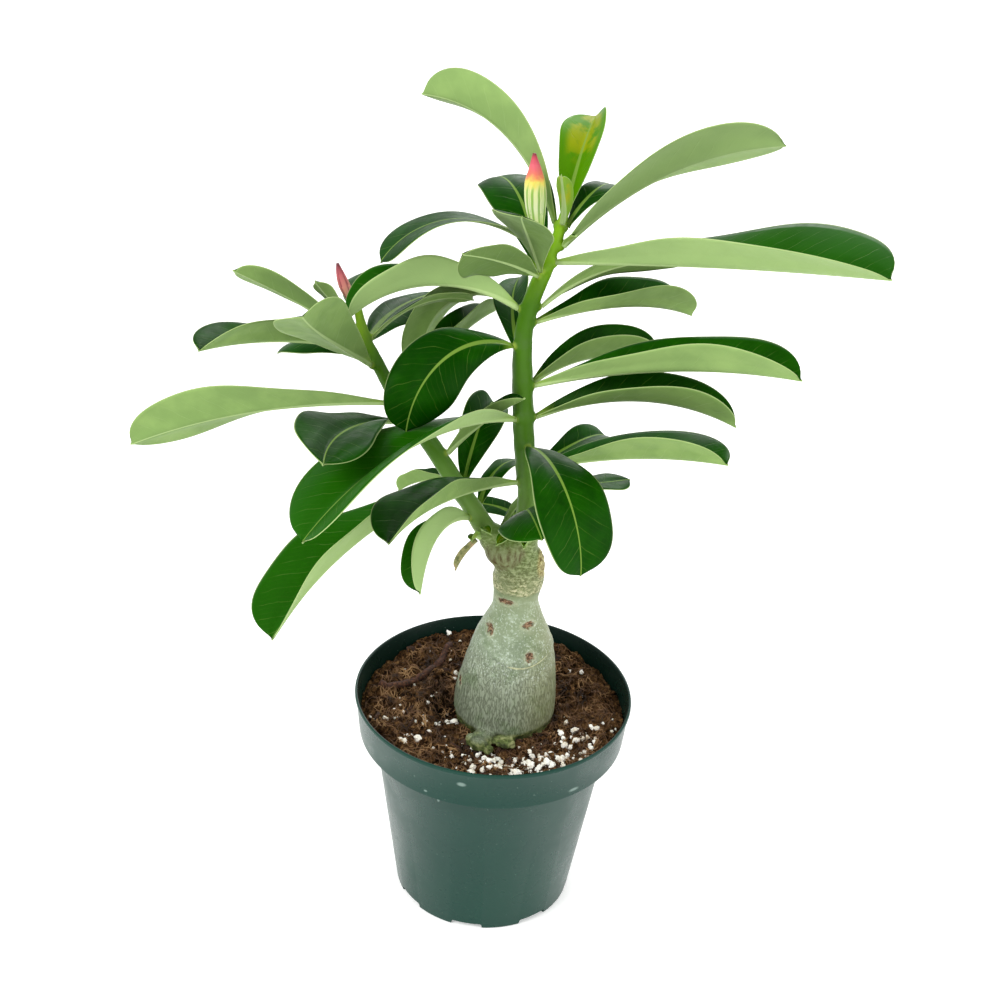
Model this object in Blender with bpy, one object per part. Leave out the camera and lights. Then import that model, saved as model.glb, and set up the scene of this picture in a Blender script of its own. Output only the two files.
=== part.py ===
"""Potted desert rose (adenium): a green nursery pot, its potting mix and the plant.

Metres, +Z up. The origin is the centre of the pot's foot, the Z axis is the pot's axis, and -Y is the
plant's front.
"""
import math

import bmesh
import bpy
import numpy as np

MM = 0.001
GAP = 0.3                    # clearance between touching pieces, mm

# Pot, mm.
RIM_RADIUS = 57.0
POT_HEIGHT = 96.0
BAND_HEIGHT = 18.0
BAND_FOOT_RADIUS = 55.0
SHOULDER_RADIUS = 48.5
FOOT_RADIUS = 37.5
POT_WALL = 1.2
FOOT_RING = 6.5              # width of the standing ring at the foot
FOOT_DISC_RADIUS = 23.0      # flat centre of the underside
CHANNEL_HEIGHT = 3.0         # drain channel between the ring and the disc
NOTCH_COUNT = 8
NOTCH_WIDTH = 13.0
NOTCH_HEIGHT = 3.0
POT_SIDES = 48

# Potting mix, mm.
SOIL_TOP = 85.0
SOIL_DISH = 1.5              # how far the surface drops towards the wall
SOIL_SWELL = 0.3             # how far it rises towards the caudex
SOIL_SIDES = 32

# Dry root on the mix, mm.
ROOT_PATH = ((-45, 9), (-39, 11), (-33, 15), (-28, 21), (-24, 29), (-21, 36))
ROOT_HALF_WIDTH = 1.6
ROOT_HALF_THICK = 1.3
ROOT_END_TAPER = 0.55
ROOT_SIDES = 8

# Caudex, mm: height, sideways place and radius of its rings, from the buried tip to the neck.
CAUDEX_RINGS = (
    (52, 5.6, 5.0), (60, 5.5, 11.0), (69, 5.4, 15.5), (77, 5.2, 18.6), (85, 5.0, 20.4), (94, 4.9, 20.8),
    (104, 5.5, 19.6), (114, 6.2, 18.0), (124, 6.6, 15.4), (131, 6.7, 12.6), (137, 6.8, 10.2),
    (143, 6.5, 9.0), (150, 6.9, 9.9), (156, 7.2, 9.8), (161, 7.2, 9.0),
)
CAUDEX_SIDES = 24
PLANT_Y = -2.0               # plane that the stems grow in

# Stems, mm: sideways place, height and radius along each centre line, from the neck up.
MAIN_STEM = (
    (7.2, 161.3, 6.6), (8.8, 176, 4.9), (8.6, 190, 4.2), (7, 200, 4), (5.5, 213, 4), (4.1, 229, 4),
    (2.9, 245, 3.8), (2.8, 257, 3.4), (4.3, 267, 3.2), (6.7, 275, 3.1), (8.8, 281, 2.9),
    (10.2, 287, 2.6), (12, 292, 2.3), (13.3, 298, 1.9), (14.4, 305, 1.2),
)
LEFT_STEM = (
    (3.5, 157, 5.2), (-5.2, 170, 4.4), (-11.9, 181, 3.9), (-18.6, 191, 3.6), (-24.7, 201, 3.5),
    (-30, 209, 3.4), (-35.9, 217, 3.2), (-41, 224, 3), (-45.3, 231, 2.8), (-48.7, 237, 2.6),
    (-52.2, 244, 2.4), (-54.9, 249, 2.3), (-56.6, 255, 2), (-58, 262, 1.4),
)
STEM_SIDES = 12

# Closed flower buds, mm: sideways place, depth, height and radius of their rings.
MAIN_BUD = (
    (8, -3.6, 292.5, 1.3), (6.4, -3.4, 296, 1.7), (5.1, -3.3, 299, 2.6), (4.3, -3.2, 303, 3.4),
    (3.8, -3.1, 308, 3.9), (3.3, -3, 313, 3.6), (2.9, -3, 318, 2.3), (2.5, -3, 321.5, 1.2),
    (2.3, -3, 323.5, 0.5),
)
LEFT_BUD = (
    (-59.5, -2, 262.8, 1.2), (-61, -2, 265.5, 1.4), (-62.6, -2, 269, 1.9), (-63.8, -2, 272, 1.8),
    (-65, -2, 275.5, 1.2), (-65.8, -2, 278.5, 0.5),
)
BUD_SIDES = 12

# Leaves, in mm and degrees. A leaf leaves its stem at a height, with a heading (0 is +X, 90 is +Y) and a
# rise, and droops by its droop and swings by its swing on the way to its tip. Its blade has a length and
# a width, rolls about its midrib, folds up along it, curls at the margins and twists.
# name: stem, height, heading, rise, droop, swing, length, width, roll, fold, curl, twist
LEAVES = {
    "leaf_main_01": ("main", 298, 133, 59, 61, 33, 71, 25, 36, 22, 25, 26),
    "leaf_main_02": ("main", 301, 74, 52, 49, 5, 50, 19, 6, 27, 13, -30),
    "leaf_main_03": ("main", 300, -87, 52, -5, -21, 26, 6, -25, 47, -25, 31),
    "leaf_main_04": ("main", 291, -3, 49, 41, -5, 85, 37, -21, 27, -33, -20),
    "leaf_main_05": ("main", 297, 34, 58, 83, 35, 30, 11, -5, 5, -4, 7),
    "leaf_main_06": ("main", 285, -31, 14, 2, -13, 130, 44, -20, 37, -12, 23),
    "leaf_main_07": ("main", 267, 9, 42, 52, -5, 55, 19, -38, 29, -54, -6),
    "leaf_main_08": ("main", 261, 5, 19, 46, 28, 63, 24, 2, 50, -8, -13),
    "leaf_main_09": ("main", 236, 32, 25, 55, -20, 53, 24, -8, 47, 25, 9),
    "leaf_main_10": ("main", 236, -7, 19, 15, -20, 99, 29, -12, 49, -4, 5),
    "leaf_main_11": ("main", 223, -3, 26, 50, -6, 76, 23, 14, 41, 16, -30),
    "leaf_main_12": ("main", 202, -16, 23, 14, -18, 77, 32, -3, 38, -14, -19),
    "leaf_main_13": ("main", 200, 28, 29, 58, 36, 40, 12, -9, 20, 0, 30),
    "leaf_main_14": ("main", 192, 26, -8, -4, 3, 40, 16, -19, 23, -45, 19),
    "leaf_main_15": ("main", 212, -69, 22, 110, 8, 68, 30, -11, 13, -14, 4),
    "leaf_main_16": ("main", 252, -145, 24, 104, 20, 62, 25, -29, 12, -41, -23),
    "leaf_main_17": ("main", 266, -172, 31, 70, 18, 66, 23, 58, 42, 14, -52),
    "leaf_main_18": ("main", 280, -127, 30, 14, 0, 46, 20, 25, 0, -20, 28),
    "leaf_main_19": ("main", 288, 177, 37, 92, 27, 64, 25, 22, 4, 0, -20),
    "leaf_main_20": ("main", 282, -115, 54, 37, 27, 57, 22, -30, 2, -15, 17),
    "leaf_main_21": ("main", 279, 113, 60, 89, -1, 59, 22, -15, 3, -17, 9),
    "leaf_main_22": ("main", 246, 108, 35, 38, -31, 45, 14, -13, 25, 0, -14),
    "leaf_left_01": ("left", 228, 33, 48, 55, 30, 54, 17, -21, 52, -8, -2),
    "leaf_main_23": ("main", 264, 131, 11, 117, 39, 72, 22, 36, 35, -44, -22),
    "leaf_main_24": ("main", 223, -129, 19, 57, -3, 110, 45, 30, 27, -20, -11),
    "leaf_main_25": ("main", 196, -147, 7, 11, 39, 73, 29, 22, 45, -22, 2),
    "leaf_main_26": ("main", 175, 113, -6, 14, 35, 32, 7, -27, 12, -18, -6),
    "leaf_main_27": ("main", 173, -97, 68, 85, 25, 58, 26, 36, 6, -34, -19),
    "leaf_left_02": ("left", 248, 159, 28, 3, 34, 52, 17, 35, 21, -13, 16),
    "leaf_left_03": ("left", 247, -157, 16, 10, 34, 68, 26, 38, 40, -16, -25),
    "leaf_left_04": ("left", 241, -128, 37, 5, 38, 68, 26, 37, 30, -13, -8),
    "leaf_left_05": ("left", 243, 160, 12, 57, -36, 44, 20, -20, 19, -35, 2),
    "leaf_left_06": ("left", 254, 174, 52, 1, 28, 22, 10, 27, 17, -21, 13),
    "leaf_left_07": ("left", 261, 101, 2, 4, -37, 43, 18, -21, 10, -28, 8),
    "leaf_left_08": ("left", 248, 85, 3, 9, -33, 59, 15, 28, 4, -44, -18),
    "leaf_left_09": ("left", 225, -175, -1, 25, -2, 99, 30, 32, 25, -13, 32),
    "leaf_left_10": ("left", 219, -127, 20, 15, 42, 81, 29, 15, 32, -29, -34),
    "leaf_left_11": ("left", 192, -150, -15, 20, 30, 90, 40, 28, 33, 1, -3),
    "leaf_left_12": ("left", 180, -124, 24, 83, 29, 49, 20, 39, 37, 27, 24),
    "leaf_left_13": ("left", 190, 70, 70, 80, 7, 41, 18, 3, 37, -16, 30),
    "leaf_left_14": ("left", 206, -15, 54, 21, 3, 39, 10, -18, 33, 23, 13),
    "leaf_left_15": ("left", 181, 69, 53, 89, -26, 34, 10, 2, 15, -30, -22),
    "leaf_left_16": ("left", 171, 41, 55, 0, -32, 18, 6, -37, 42, -37, 1),
    "leaf_left_17": ("left", 251, 25, 43, 63, -3, 42, 13, -27, 14, -30, -14),
    "leaf_left_18": ("left", 191, 133, -11, 36, 19, 30, 10, 10, 45, 12, -1),
}
LEAF_THICK = 1.3
MARGIN_THICK = 0.5
LEAF_SMOOTH_ANGLE = 60.0
PETIOLE_HALF = 0.9
PETIOLE_SEAT = 0.15          # room for the round of the stem behind a flat-ended stalk
LEAF_ACROSS = 4
OUTLINE_RISE = 1.15          # how the blade widens from its base, and how it closes at its tip
OUTLINE_CLOSE = 0.5
DROOP_POWER = 1.25


def material(name, colour, roughness, metallic=0.0):
    """A plain Principled material in a linear colour."""
    made = bpy.data.materials.new(name)
    made.use_nodes = True
    shader = made.node_tree.nodes["Principled BSDF"]
    shader.inputs["Base Color"].default_value = (*colour, 1.0)
    shader.inputs["Roughness"].default_value = roughness
    shader.inputs["Metallic"].default_value = metallic
    return made


def solid(name, points, faces, finish, smooth_angle=40.0):
    """One named object from points in mm and faces, with its faces turned outwards."""
    mesh = bpy.data.meshes.new(name)
    mesh.from_pydata([tuple(c * MM for c in p) for p in points], [], faces)
    work = bmesh.new()
    work.from_mesh(mesh)
    bmesh.ops.recalc_face_normals(work, faces=work.faces)
    work.to_mesh(mesh)
    work.free()
    mesh.shade_smooth()
    mesh.set_sharp_from_angle(angle=math.radians(smooth_angle))
    mesh.materials.append(finish)
    piece = bpy.data.objects.new(name, mesh)
    bpy.context.scene.collection.objects.link(piece)
    return piece


def skin(rings):
    """Points and faces of closed rings joined in order, with a cap at each end."""
    count = len(rings[0])
    points = [p for ring in rings for p in ring]
    faces = []
    for lower in range(len(rings) - 1):
        for side in range(count):
            a = lower * count + side
            b = lower * count + (side + 1) % count
            faces.append((a, b, b + count, a + count))
    faces.append(tuple(range(count)))
    faces.append(tuple(range(len(points) - count, len(points))))
    return points, faces


def turned(profile, sides):
    """Points and faces of a closed outline of (radius, height) turned about Z; radius 0 is a pole."""
    points, rows, faces = [], [], []
    for radius, height in profile:
        if radius == 0.0:
            rows.append([len(points)] * sides)
            points.append((0.0, 0.0, height))
            continue
        rows.append(list(range(len(points), len(points) + sides)))
        for side in range(sides):
            turn = 2 * math.pi * side / sides
            points.append((radius * math.cos(turn), radius * math.sin(turn), height))
    for here, after in zip(rows, rows[1:]):
        for side in range(sides):
            beyond = (side + 1) % sides
            corners = [here[side], here[beyond], after[beyond], after[side]]
            faces.append(tuple(dict.fromkeys(corners)))
    return points, faces


def cut(piece, cutter):
    """Take the cutter's shape out of a piece, and leave the cutter as a hidden guide."""
    cutter.hide_render = True
    cutter.display_type = "WIRE"
    boolean = piece.modifiers.new("cut", "BOOLEAN")
    boolean.operation = "DIFFERENCE"
    boolean.solver = "EXACT"
    boolean.object = cutter
    return piece


def tube_rings(path, sides, grow=0.0, level_foot=False):
    """Rings of a round bar along (x, z, radius) points in the stems' plane."""
    path = np.array(path, float)
    ahead = np.gradient(path[:, :2], axis=0)
    ahead /= np.linalg.norm(ahead, axis=1, keepdims=True)
    if level_foot:
        ahead[0] = (0.0, 1.0)
    rings = []
    for (x, z, radius), (ax, az) in zip(path, ahead):
        ring = []
        for side in range(sides):
            turn = 2 * math.pi * side / sides
            across = (radius + grow) * math.cos(turn)
            deep = (radius + grow) * math.sin(turn)
            ring.append((x + across * az, PLANT_Y + deep, z - across * ax))
        rings.append(ring)
    return rings


def caudex_rings(grow=0.0):
    """Rings of the swollen base; a grown copy cuts its seat in the mix."""
    rings = []
    for height, x, radius in CAUDEX_RINGS:
        ring = []
        for side in range(CAUDEX_SIDES):
            turn = 2 * math.pi * side / CAUDEX_SIDES
            lobed = radius * (1 + 0.03 * math.sin(3 * turn + height / 25)) + grow
            ring.append((x + lobed * math.cos(turn), PLANT_Y / 2 + lobed * math.sin(turn), height))
        rings.append(ring)
    if grow:
        rings.insert(0, [(x, y, z - 2 * grow) for x, y, z in rings[0]])
    return rings


def outer_radius(height):
    """Outer radius of the pot's body below the rim band."""
    shoulder = POT_HEIGHT - BAND_HEIGHT
    return FOOT_RADIUS + (SHOULDER_RADIUS - FOOT_RADIUS) * height / shoulder


def build_pot():
    green = material("pot_green", (0.033, 0.090, 0.068), 0.38)
    shoulder = POT_HEIGHT - BAND_HEIGHT
    wall = POT_WALL
    inner_floor = CHANNEL_HEIGHT + wall
    ring_in = FOOT_RADIUS - FOOT_RING
    profile = (
        (0.0, 0.0), (FOOT_DISC_RADIUS, 0.0), (FOOT_DISC_RADIUS + 1, CHANNEL_HEIGHT),
        (ring_in, CHANNEL_HEIGHT), (ring_in + 1, 0.0), (FOOT_RADIUS - 1, 0.0), (FOOT_RADIUS, 1.0),
        (outer_radius(shoulder - 1), shoulder - 1), (BAND_FOOT_RADIUS - 1.5, shoulder),
        (BAND_FOOT_RADIUS, shoulder + 1), (RIM_RADIUS - 0.3, POT_HEIGHT - 1.2),
        (RIM_RADIUS, POT_HEIGHT - 0.6), (RIM_RADIUS - 0.4, POT_HEIGHT),
        (RIM_RADIUS - wall, POT_HEIGHT), (RIM_RADIUS - wall - 0.3, POT_HEIGHT - 1),
        (BAND_FOOT_RADIUS - wall - 0.3, shoulder + 2.2), (BAND_FOOT_RADIUS - wall - 1.5, shoulder + wall),
        (outer_radius(shoulder) - wall, shoulder + wall - 0.6),
        (outer_radius(inner_floor) - wall, inner_floor + 1), (outer_radius(0) - wall - 2, inner_floor),
        (0.0, inner_floor),
    )
    pot = solid("pot", *turned(profile, POT_SIDES), green)
    points, faces = [], []
    for notch in range(NOTCH_COUNT):
        turn = math.radians(-98.0) + 2 * math.pi * notch / NOTCH_COUNT
        out = (math.cos(turn), math.sin(turn))
        side = (-out[1], out[0])
        first = len(points)
        for height in (-1.0, NOTCH_HEIGHT - 0.4):
            for reach in (ring_in - 2.0, FOOT_RADIUS + 3.0):
                for half in (-NOTCH_WIDTH / 2, NOTCH_WIDTH / 2):
                    points.append((out[0] * reach + side[0] * half, out[1] * reach + side[1] * half, height))
        for corners in ((0, 1, 3, 2), (4, 6, 7, 5), (0, 4, 5, 1), (2, 3, 7, 6), (0, 2, 6, 4), (1, 5, 7, 3)):
            faces.append(tuple(first + c for c in corners))
    cutter = solid("pot_notch_guide", points, faces, green)
    return cut(pot, cutter)


def build_soil():
    brown = material("potting_mix", (0.055, 0.030, 0.018), 0.95)
    shoulder = POT_HEIGHT - BAND_HEIGHT
    inset = POT_WALL + GAP
    low = CHANNEL_HEIGHT + POT_WALL + GAP
    edge = BAND_FOOT_RADIUS - inset - 0.2
    profile = (
        (0.0, low), (outer_radius(0) - inset - 2.5, low), (outer_radius(low + 2) - inset, low + 2),
        (outer_radius(shoulder - 2) - inset, shoulder - 2),
        (outer_radius(shoulder - 1) - inset - 0.2, shoulder + POT_WALL + GAP),
        (edge - 1.5, shoulder + POT_WALL + GAP), (edge, shoulder + 3.2),
        (edge + 0.2, SOIL_TOP - SOIL_DISH), (edge * 0.8, SOIL_TOP - 0.4),
        (edge * 0.55, SOIL_TOP + SOIL_SWELL), (0.0, SOIL_TOP + SOIL_SWELL + 0.2),
    )
    soil = solid("soil", *turned(profile, SOIL_SIDES), brown)
    cutter = solid("caudex_seat_guide", *skin(caudex_rings(GAP)), brown)
    return cut(soil, cutter)


def build_root_strip():
    """The dry root that lies on the mix, as a bent flattish bar."""
    wood = material("dry_root", (0.22, 0.15, 0.09), 0.85)
    middle = SOIL_TOP + SOIL_SWELL + GAP + ROOT_HALF_THICK
    last = len(ROOT_PATH) - 1
    rings = []
    for index, (x, y) in enumerate(ROOT_PATH):
        before = ROOT_PATH[max(index - 1, 0)]
        after = ROOT_PATH[min(index + 1, last)]
        ax, ay = after[0] - before[0], after[1] - before[1]
        size = math.hypot(ax, ay)
        taper = ROOT_END_TAPER if index in (0, last) else 1.0
        ring = []
        for side in range(ROOT_SIDES):
            turn = 2 * math.pi * side / ROOT_SIDES
            wide = ROOT_HALF_WIDTH * taper * math.cos(turn)
            high = ROOT_HALF_THICK * math.sin(turn)
            ring.append((x - ay / size * wide, y + ax / size * wide, middle + high))
        rings.append(ring)
    return solid("root_strip", *skin(rings), wood)


def build_trunk():
    bark = material("caudex_skin", (0.20, 0.22, 0.13), 0.7)
    green = material("stem_skin", (0.22, 0.27, 0.10), 0.6)
    solid("caudex", *skin(caudex_rings()), bark)
    solid("stem_main", *skin(tube_rings(MAIN_STEM, STEM_SIDES, level_foot=True)), green)
    left = solid("stem_left", *skin(tube_rings(LEFT_STEM, STEM_SIDES)), green)
    below = caudex_rings(GAP)
    below.append([(x, y, z + GAP) for x, y, z in below[-1]])
    cut(left, solid("caudex_guide", *skin(below), bark))
    foot = list(MAIN_STEM)
    foot.insert(0, (foot[0][0], foot[0][1] - 6, foot[0][2]))
    cut(left, solid("stem_main_guide", *skin(tube_rings(foot, STEM_SIDES, GAP, True)), green))


def stem_point(stem, height):
    """Centre, radius and direction of a stem at a height."""
    path = np.array(MAIN_STEM if stem == "main" else LEFT_STEM, float)
    x, above, radius = (np.interp(at, path[:, 1], path[:, column])
                        for at, column in ((height, 0), (height + 1, 0), (height, 2)))
    along = np.array([above - x, 0.0, 1.0])
    return x, radius, along / np.linalg.norm(along)


def leaf_sheet(stem, height, heading, rise, droop, swing, length, width, roll, fold, curl, twist):
    """Middle surface of a leaf, as rows of points from base to tip, with the side that it faces."""
    along = np.linspace(0, 1, 8 if length < 60 else 10)
    across = np.linspace(-1, 1, LEAF_ACROSS + 1)
    x, radius, stem_along = stem_point(stem, height)
    start = math.radians(heading)
    outward = np.array([math.cos(start), math.sin(start), 0.0])
    clear = radius + GAP + LEAF_THICK / 2 * abs(math.sin(math.radians(rise))) + PETIOLE_SEAT
    reach = clear / np.linalg.norm(np.cross(outward, stem_along))
    base = np.array([x + reach * math.cos(start), PLANT_Y + reach * math.sin(start), height])

    def direction(s):
        up = np.radians(rise - droop * s ** DROOP_POWER)
        turn = np.radians(heading + swing * s)
        return np.stack([np.cos(up) * np.cos(turn), np.cos(up) * np.sin(turn), np.sin(up)], -1), turn

    fine = np.linspace(0, 1, 15)
    steps, _ = direction((fine[1:] + fine[:-1]) / 2)
    walk = base + np.concatenate([np.zeros((1, 3)), np.cumsum(steps, 0) * length / 14])
    midrib = np.stack([np.interp(along, fine, walk[:, axis]) for axis in range(3)], -1)
    ahead, turn = direction(along)
    level = np.stack([-np.sin(turn), np.cos(turn), 0 * turn], -1)
    upward = np.cross(ahead, level)
    tilt = np.radians(roll + twist * along)[:, None]
    side = level * np.cos(tilt) + upward * np.sin(tilt)
    face = upward * np.cos(tilt) - level * np.sin(tilt)
    peak = OUTLINE_RISE / (OUTLINE_RISE + OUTLINE_CLOSE)
    full = peak ** OUTLINE_RISE * (1 - peak) ** OUTLINE_CLOSE
    blade = along ** OUTLINE_RISE * (1 - along) ** OUTLINE_CLOSE / full
    half = width / 2 * blade + PETIOLE_HALF * (1 - along) ** 0.5
    half[-1] = 0.25
    out = np.abs(across)
    quarter = (np.arange(4) + 0.5) / 4
    lift = math.radians(fold) + math.radians(curl) * out[:, None] * quarter
    flat = np.sign(across) * out * np.cos(lift).mean(1)
    high = out * np.sin(lift).mean(1)
    sheet = midrib[:, None] + half[:, None, None] * (
        side[:, None] * flat[None, :, None] + face[:, None] * high[None, :, None])
    return sheet, face[:, None], out


def build_leaf(name, finish, numbers):
    sheet, face, out = leaf_sheet(*numbers)
    half = (MARGIN_THICK + (LEAF_THICK - MARGIN_THICK) * (1 - out ** 2)) / 2
    ends = np.ones(len(sheet))
    ends[-1] = 0.5
    shift = face * (half[None, :] * ends[:, None])[..., None]
    rings = []
    for upper, lower in zip(sheet + shift, sheet - shift):
        rings.append([tuple(p) for p in upper] + [tuple(p) for p in lower[::-1]])
    return solid(name, *skin(rings), finish, LEAF_SMOOTH_ANGLE)


def build_bud(name, path, colour):
    """A closed flower bud on its short stalk: a spindle through (x, y, height, radius) rings."""
    finish = material(name + "_petals", colour, 0.5)
    rings = []
    for x, y, height, radius in path:
        ring = []
        for side in range(BUD_SIDES):
            turn = 2 * math.pi * side / BUD_SIDES
            ring.append((x + radius * math.cos(turn), y + radius * math.sin(turn), height))
        rings.append(ring)
    return solid(name, *skin(rings), finish)


for old in list(bpy.data.objects):
    bpy.data.objects.remove(old, do_unlink=True)

build_pot()
build_soil()
build_root_strip()
build_trunk()
leaf_green = material("leaf_green", (0.06, 0.14, 0.03), 0.4)
for leaf_name, leaf_numbers in LEAVES.items():
    build_leaf(leaf_name, leaf_green, leaf_numbers)
build_bud("bud_main", MAIN_BUD, (0.70, 0.22, 0.16))
build_bud("bud_left", LEFT_BUD, (0.60, 0.18, 0.14))
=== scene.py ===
"""A young desert rose (adenium) in a green nursery pot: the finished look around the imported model.

Every length in this file is in millimetres unless its name ends in _m, and MM turns it into metres.
"""
import math

import bmesh
import bpy
import numpy as np
from mathutils import Matrix, Vector, noise


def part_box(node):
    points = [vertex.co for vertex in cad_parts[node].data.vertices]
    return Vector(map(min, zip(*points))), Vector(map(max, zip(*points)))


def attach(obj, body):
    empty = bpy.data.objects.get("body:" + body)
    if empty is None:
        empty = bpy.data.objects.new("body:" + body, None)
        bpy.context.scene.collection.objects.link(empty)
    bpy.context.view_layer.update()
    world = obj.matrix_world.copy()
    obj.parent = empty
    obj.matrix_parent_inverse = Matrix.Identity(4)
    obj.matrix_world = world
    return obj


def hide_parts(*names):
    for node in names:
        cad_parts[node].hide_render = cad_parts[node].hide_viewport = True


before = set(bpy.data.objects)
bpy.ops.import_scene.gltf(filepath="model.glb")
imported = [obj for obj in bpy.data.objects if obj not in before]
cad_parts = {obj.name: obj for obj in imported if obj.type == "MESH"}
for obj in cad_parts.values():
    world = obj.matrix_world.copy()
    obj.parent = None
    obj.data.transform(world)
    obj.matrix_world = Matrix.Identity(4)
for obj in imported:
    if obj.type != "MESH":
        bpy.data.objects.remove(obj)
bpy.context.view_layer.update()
MM = 0.001


# ---------------------------------------------------------------------------------------------------
# The pot: a nursery pot injection-moulded in dark green polypropylene, with a rim band, a thin lip,
# a raised channel under the foot and drain notches through its standing ring. It is one wall, turned
# from its outline, with the notches cut through afterwards.

def linear(colour):
    """A linear RGBA colour from an sRGB hex one."""
    channels = [int(colour[at:at + 2], 16) / 255 for at in (1, 3, 5)]
    return [c / 12.92 if c <= 0.04045 else ((c + 0.055) / 1.055) ** 2.4 for c in channels] + [1.0]


def add(tree, kind, values=None, **settings):
    """Add a node with its settings, and its input sockets set to a value or linked to a socket."""
    made = tree.nodes.new(kind)
    for setting, value in settings.items():
        setattr(made, setting, value)
    for socket, value in (values or {}).items():
        if isinstance(value, bpy.types.NodeSocket):
            tree.links.new(value, made.inputs[socket])
        else:
            made.inputs[socket].default_value = value
    return made


def new_material(name, **sockets):
    """A Principled material, its tree and its shader, with the sockets that are the same all over."""
    made = bpy.data.materials.new(name)
    made.use_nodes = True
    shader = made.node_tree.nodes["Principled BSDF"]
    for socket, value in sockets.items():
        shader.inputs[socket.replace("_", " ")].default_value = value
    return made, made.node_tree, shader


def ramp(tree, factor, *stops):
    """A colour ramp through (position, sRGB hex) stops."""
    made = add(tree, "ShaderNodeValToRGB", {"Fac": factor})
    points = made.color_ramp.elements
    while len(points) < len(stops):
        points.new(1.0)
    for point, (position, colour) in zip(points, stops):
        point.position = position
        point.color = linear(colour)
    return made.outputs["Color"]


def mix(tree, factor, first, second):
    """Mix two colours, each a socket or an sRGB hex, by a socket or a number."""
    first, second = (linear(c) if isinstance(c, str) else c for c in (first, second))
    return add(tree, "ShaderNodeMix", {0: factor, 6: first, 7: second}, data_type="RGBA").outputs[2]


def calc(tree, operation, *values):
    """Work a number out from sockets or numbers."""
    return add(tree, "ShaderNodeMath", dict(enumerate(values)), operation=operation).outputs[0]


def product(tree, first, second):
    """The product of two sockets or numbers."""
    return calc(tree, "MULTIPLY", first, second)


def object_place(tree):
    """A surface's own place, in metres, which stays with it from every side."""
    return add(tree, "ShaderNodeTexCoord").outputs["Object"]


def fade(tree, value, low, high, start=0.0, end=1.0):
    """A smooth step of a value: start at low and below, end at high and above."""
    made = add(tree, "ShaderNodeMapRange", {
        "Value": value, "From Min": low, "From Max": high, "To Min": start, "To Max": end,
    }, interpolation_type="SMOOTHSTEP")
    return made.outputs[0]


def noise_at(tree, place, size, detail=3.0, rough=0.55, stretch=(1, 1, 1)):
    """Noise with features of a size in mm on metre coordinates, stretched along the axes."""
    scaled = add(tree, "ShaderNodeMapping", {"Vector": place, "Scale": stretch})
    made = add(tree, "ShaderNodeTexNoise", {
        "Vector": scaled.outputs[0], "Scale": 1 / (size * MM), "Detail": detail, "Roughness": rough,
    })
    return made.outputs[0]


def spot(tree, place, centre, sizes):
    """Distance from a centre, in mm, which is 1 at the edge of an ellipsoid of the given half sizes."""
    shifted = add(tree, "ShaderNodeMapping", {
        "Vector": place, "Location": [-c / size for c, size in zip(centre, sizes)],
        "Scale": [1 / (size * MM) for size in sizes],
    }).outputs[0]
    return add(tree, "ShaderNodeVectorMath", {0: shifted}, operation="LENGTH").outputs["Value"]


def bump(tree, shader, height, distance, strength=1.0, under=None):
    """Bump of a depth in mm into the shader, over an earlier bump."""
    values = {"Height": height, "Distance": distance * MM, "Strength": strength}
    if under:
        values["Normal"] = under
    made = add(tree, "ShaderNodeBump", values)
    tree.links.new(made.outputs[0], shader.inputs["Normal"])
    return made.outputs[0]


def finished(name, shape, *finishes, node=None, slot=None, smooth=True):
    """Turn a mesh or an object into a finished piece that rides on the plant's one body."""
    piece = shape
    if isinstance(shape, bpy.types.Mesh):
        piece = bpy.data.objects.new(name, shape)
        bpy.context.scene.collection.objects.link(piece)
    piece.name = name
    piece.data.name = name
    for finish in finishes:
        piece.data.materials.append(finish)
    if smooth:
        piece.data.shade_smooth()
    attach(piece, "root")
    if node:
        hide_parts(*([node] if isinstance(node, str) else node))
    return piece


def only(piece):
    """Make a piece the only selected and active object."""
    bpy.ops.object.select_all(action="DESELECT")
    piece.select_set(True)
    bpy.context.view_layer.objects.active = piece
    return piece


def apply_modifiers(piece):
    """Apply a piece's modifiers in their order."""
    only(piece)
    for modifier in list(piece.modifiers):
        bpy.ops.object.modifier_apply(modifier=modifier.name)


def turn_outline(outline, steps):
    """Turn an outline of (radius, height) about Z, by extruding a point along it and spinning it."""
    bpy.ops.object.select_all(action="DESELECT")
    bpy.ops.mesh.primitive_plane_add(size=MM, location=(0, 0, 0))
    piece = bpy.context.object
    bpy.ops.object.mode_set(mode="EDIT")
    bpy.ops.mesh.merge(type="CENTER")
    bpy.ops.transform.translate(value=(outline[0][0] * MM, 0, outline[0][1] * MM))
    for before, after in zip(outline, outline[1:]):
        step = ((after[0] - before[0]) * MM, 0, (after[1] - before[1]) * MM)
        bpy.ops.mesh.extrude_region_move(TRANSFORM_OT_translate={"value": step})
    bpy.ops.mesh.select_all(action="SELECT")
    bpy.ops.mesh.spin(steps=steps, angle=2 * math.pi, center=(0, 0, 0), axis=(0, 0, 1))
    bpy.ops.mesh.select_all(action="SELECT")
    bpy.ops.mesh.remove_doubles(threshold=1e-6)
    bpy.ops.mesh.normals_make_consistent(inside=False)
    bpy.ops.object.mode_set(mode="OBJECT")
    return piece


pot_low, pot_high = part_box("pot")
RIM = (pot_high[0] - pot_low[0]) / 2 / MM
TALL = pot_high[2] / MM
BAND = 18.0
WALL = 1.2
SHOULDER = TALL - BAND
FOOT = 37.5
BODY_TOP = 48.5
BAND_FOOT = 55.0
CHANNEL = 3.0
RING = 6.5
DISC = 23.0

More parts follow.
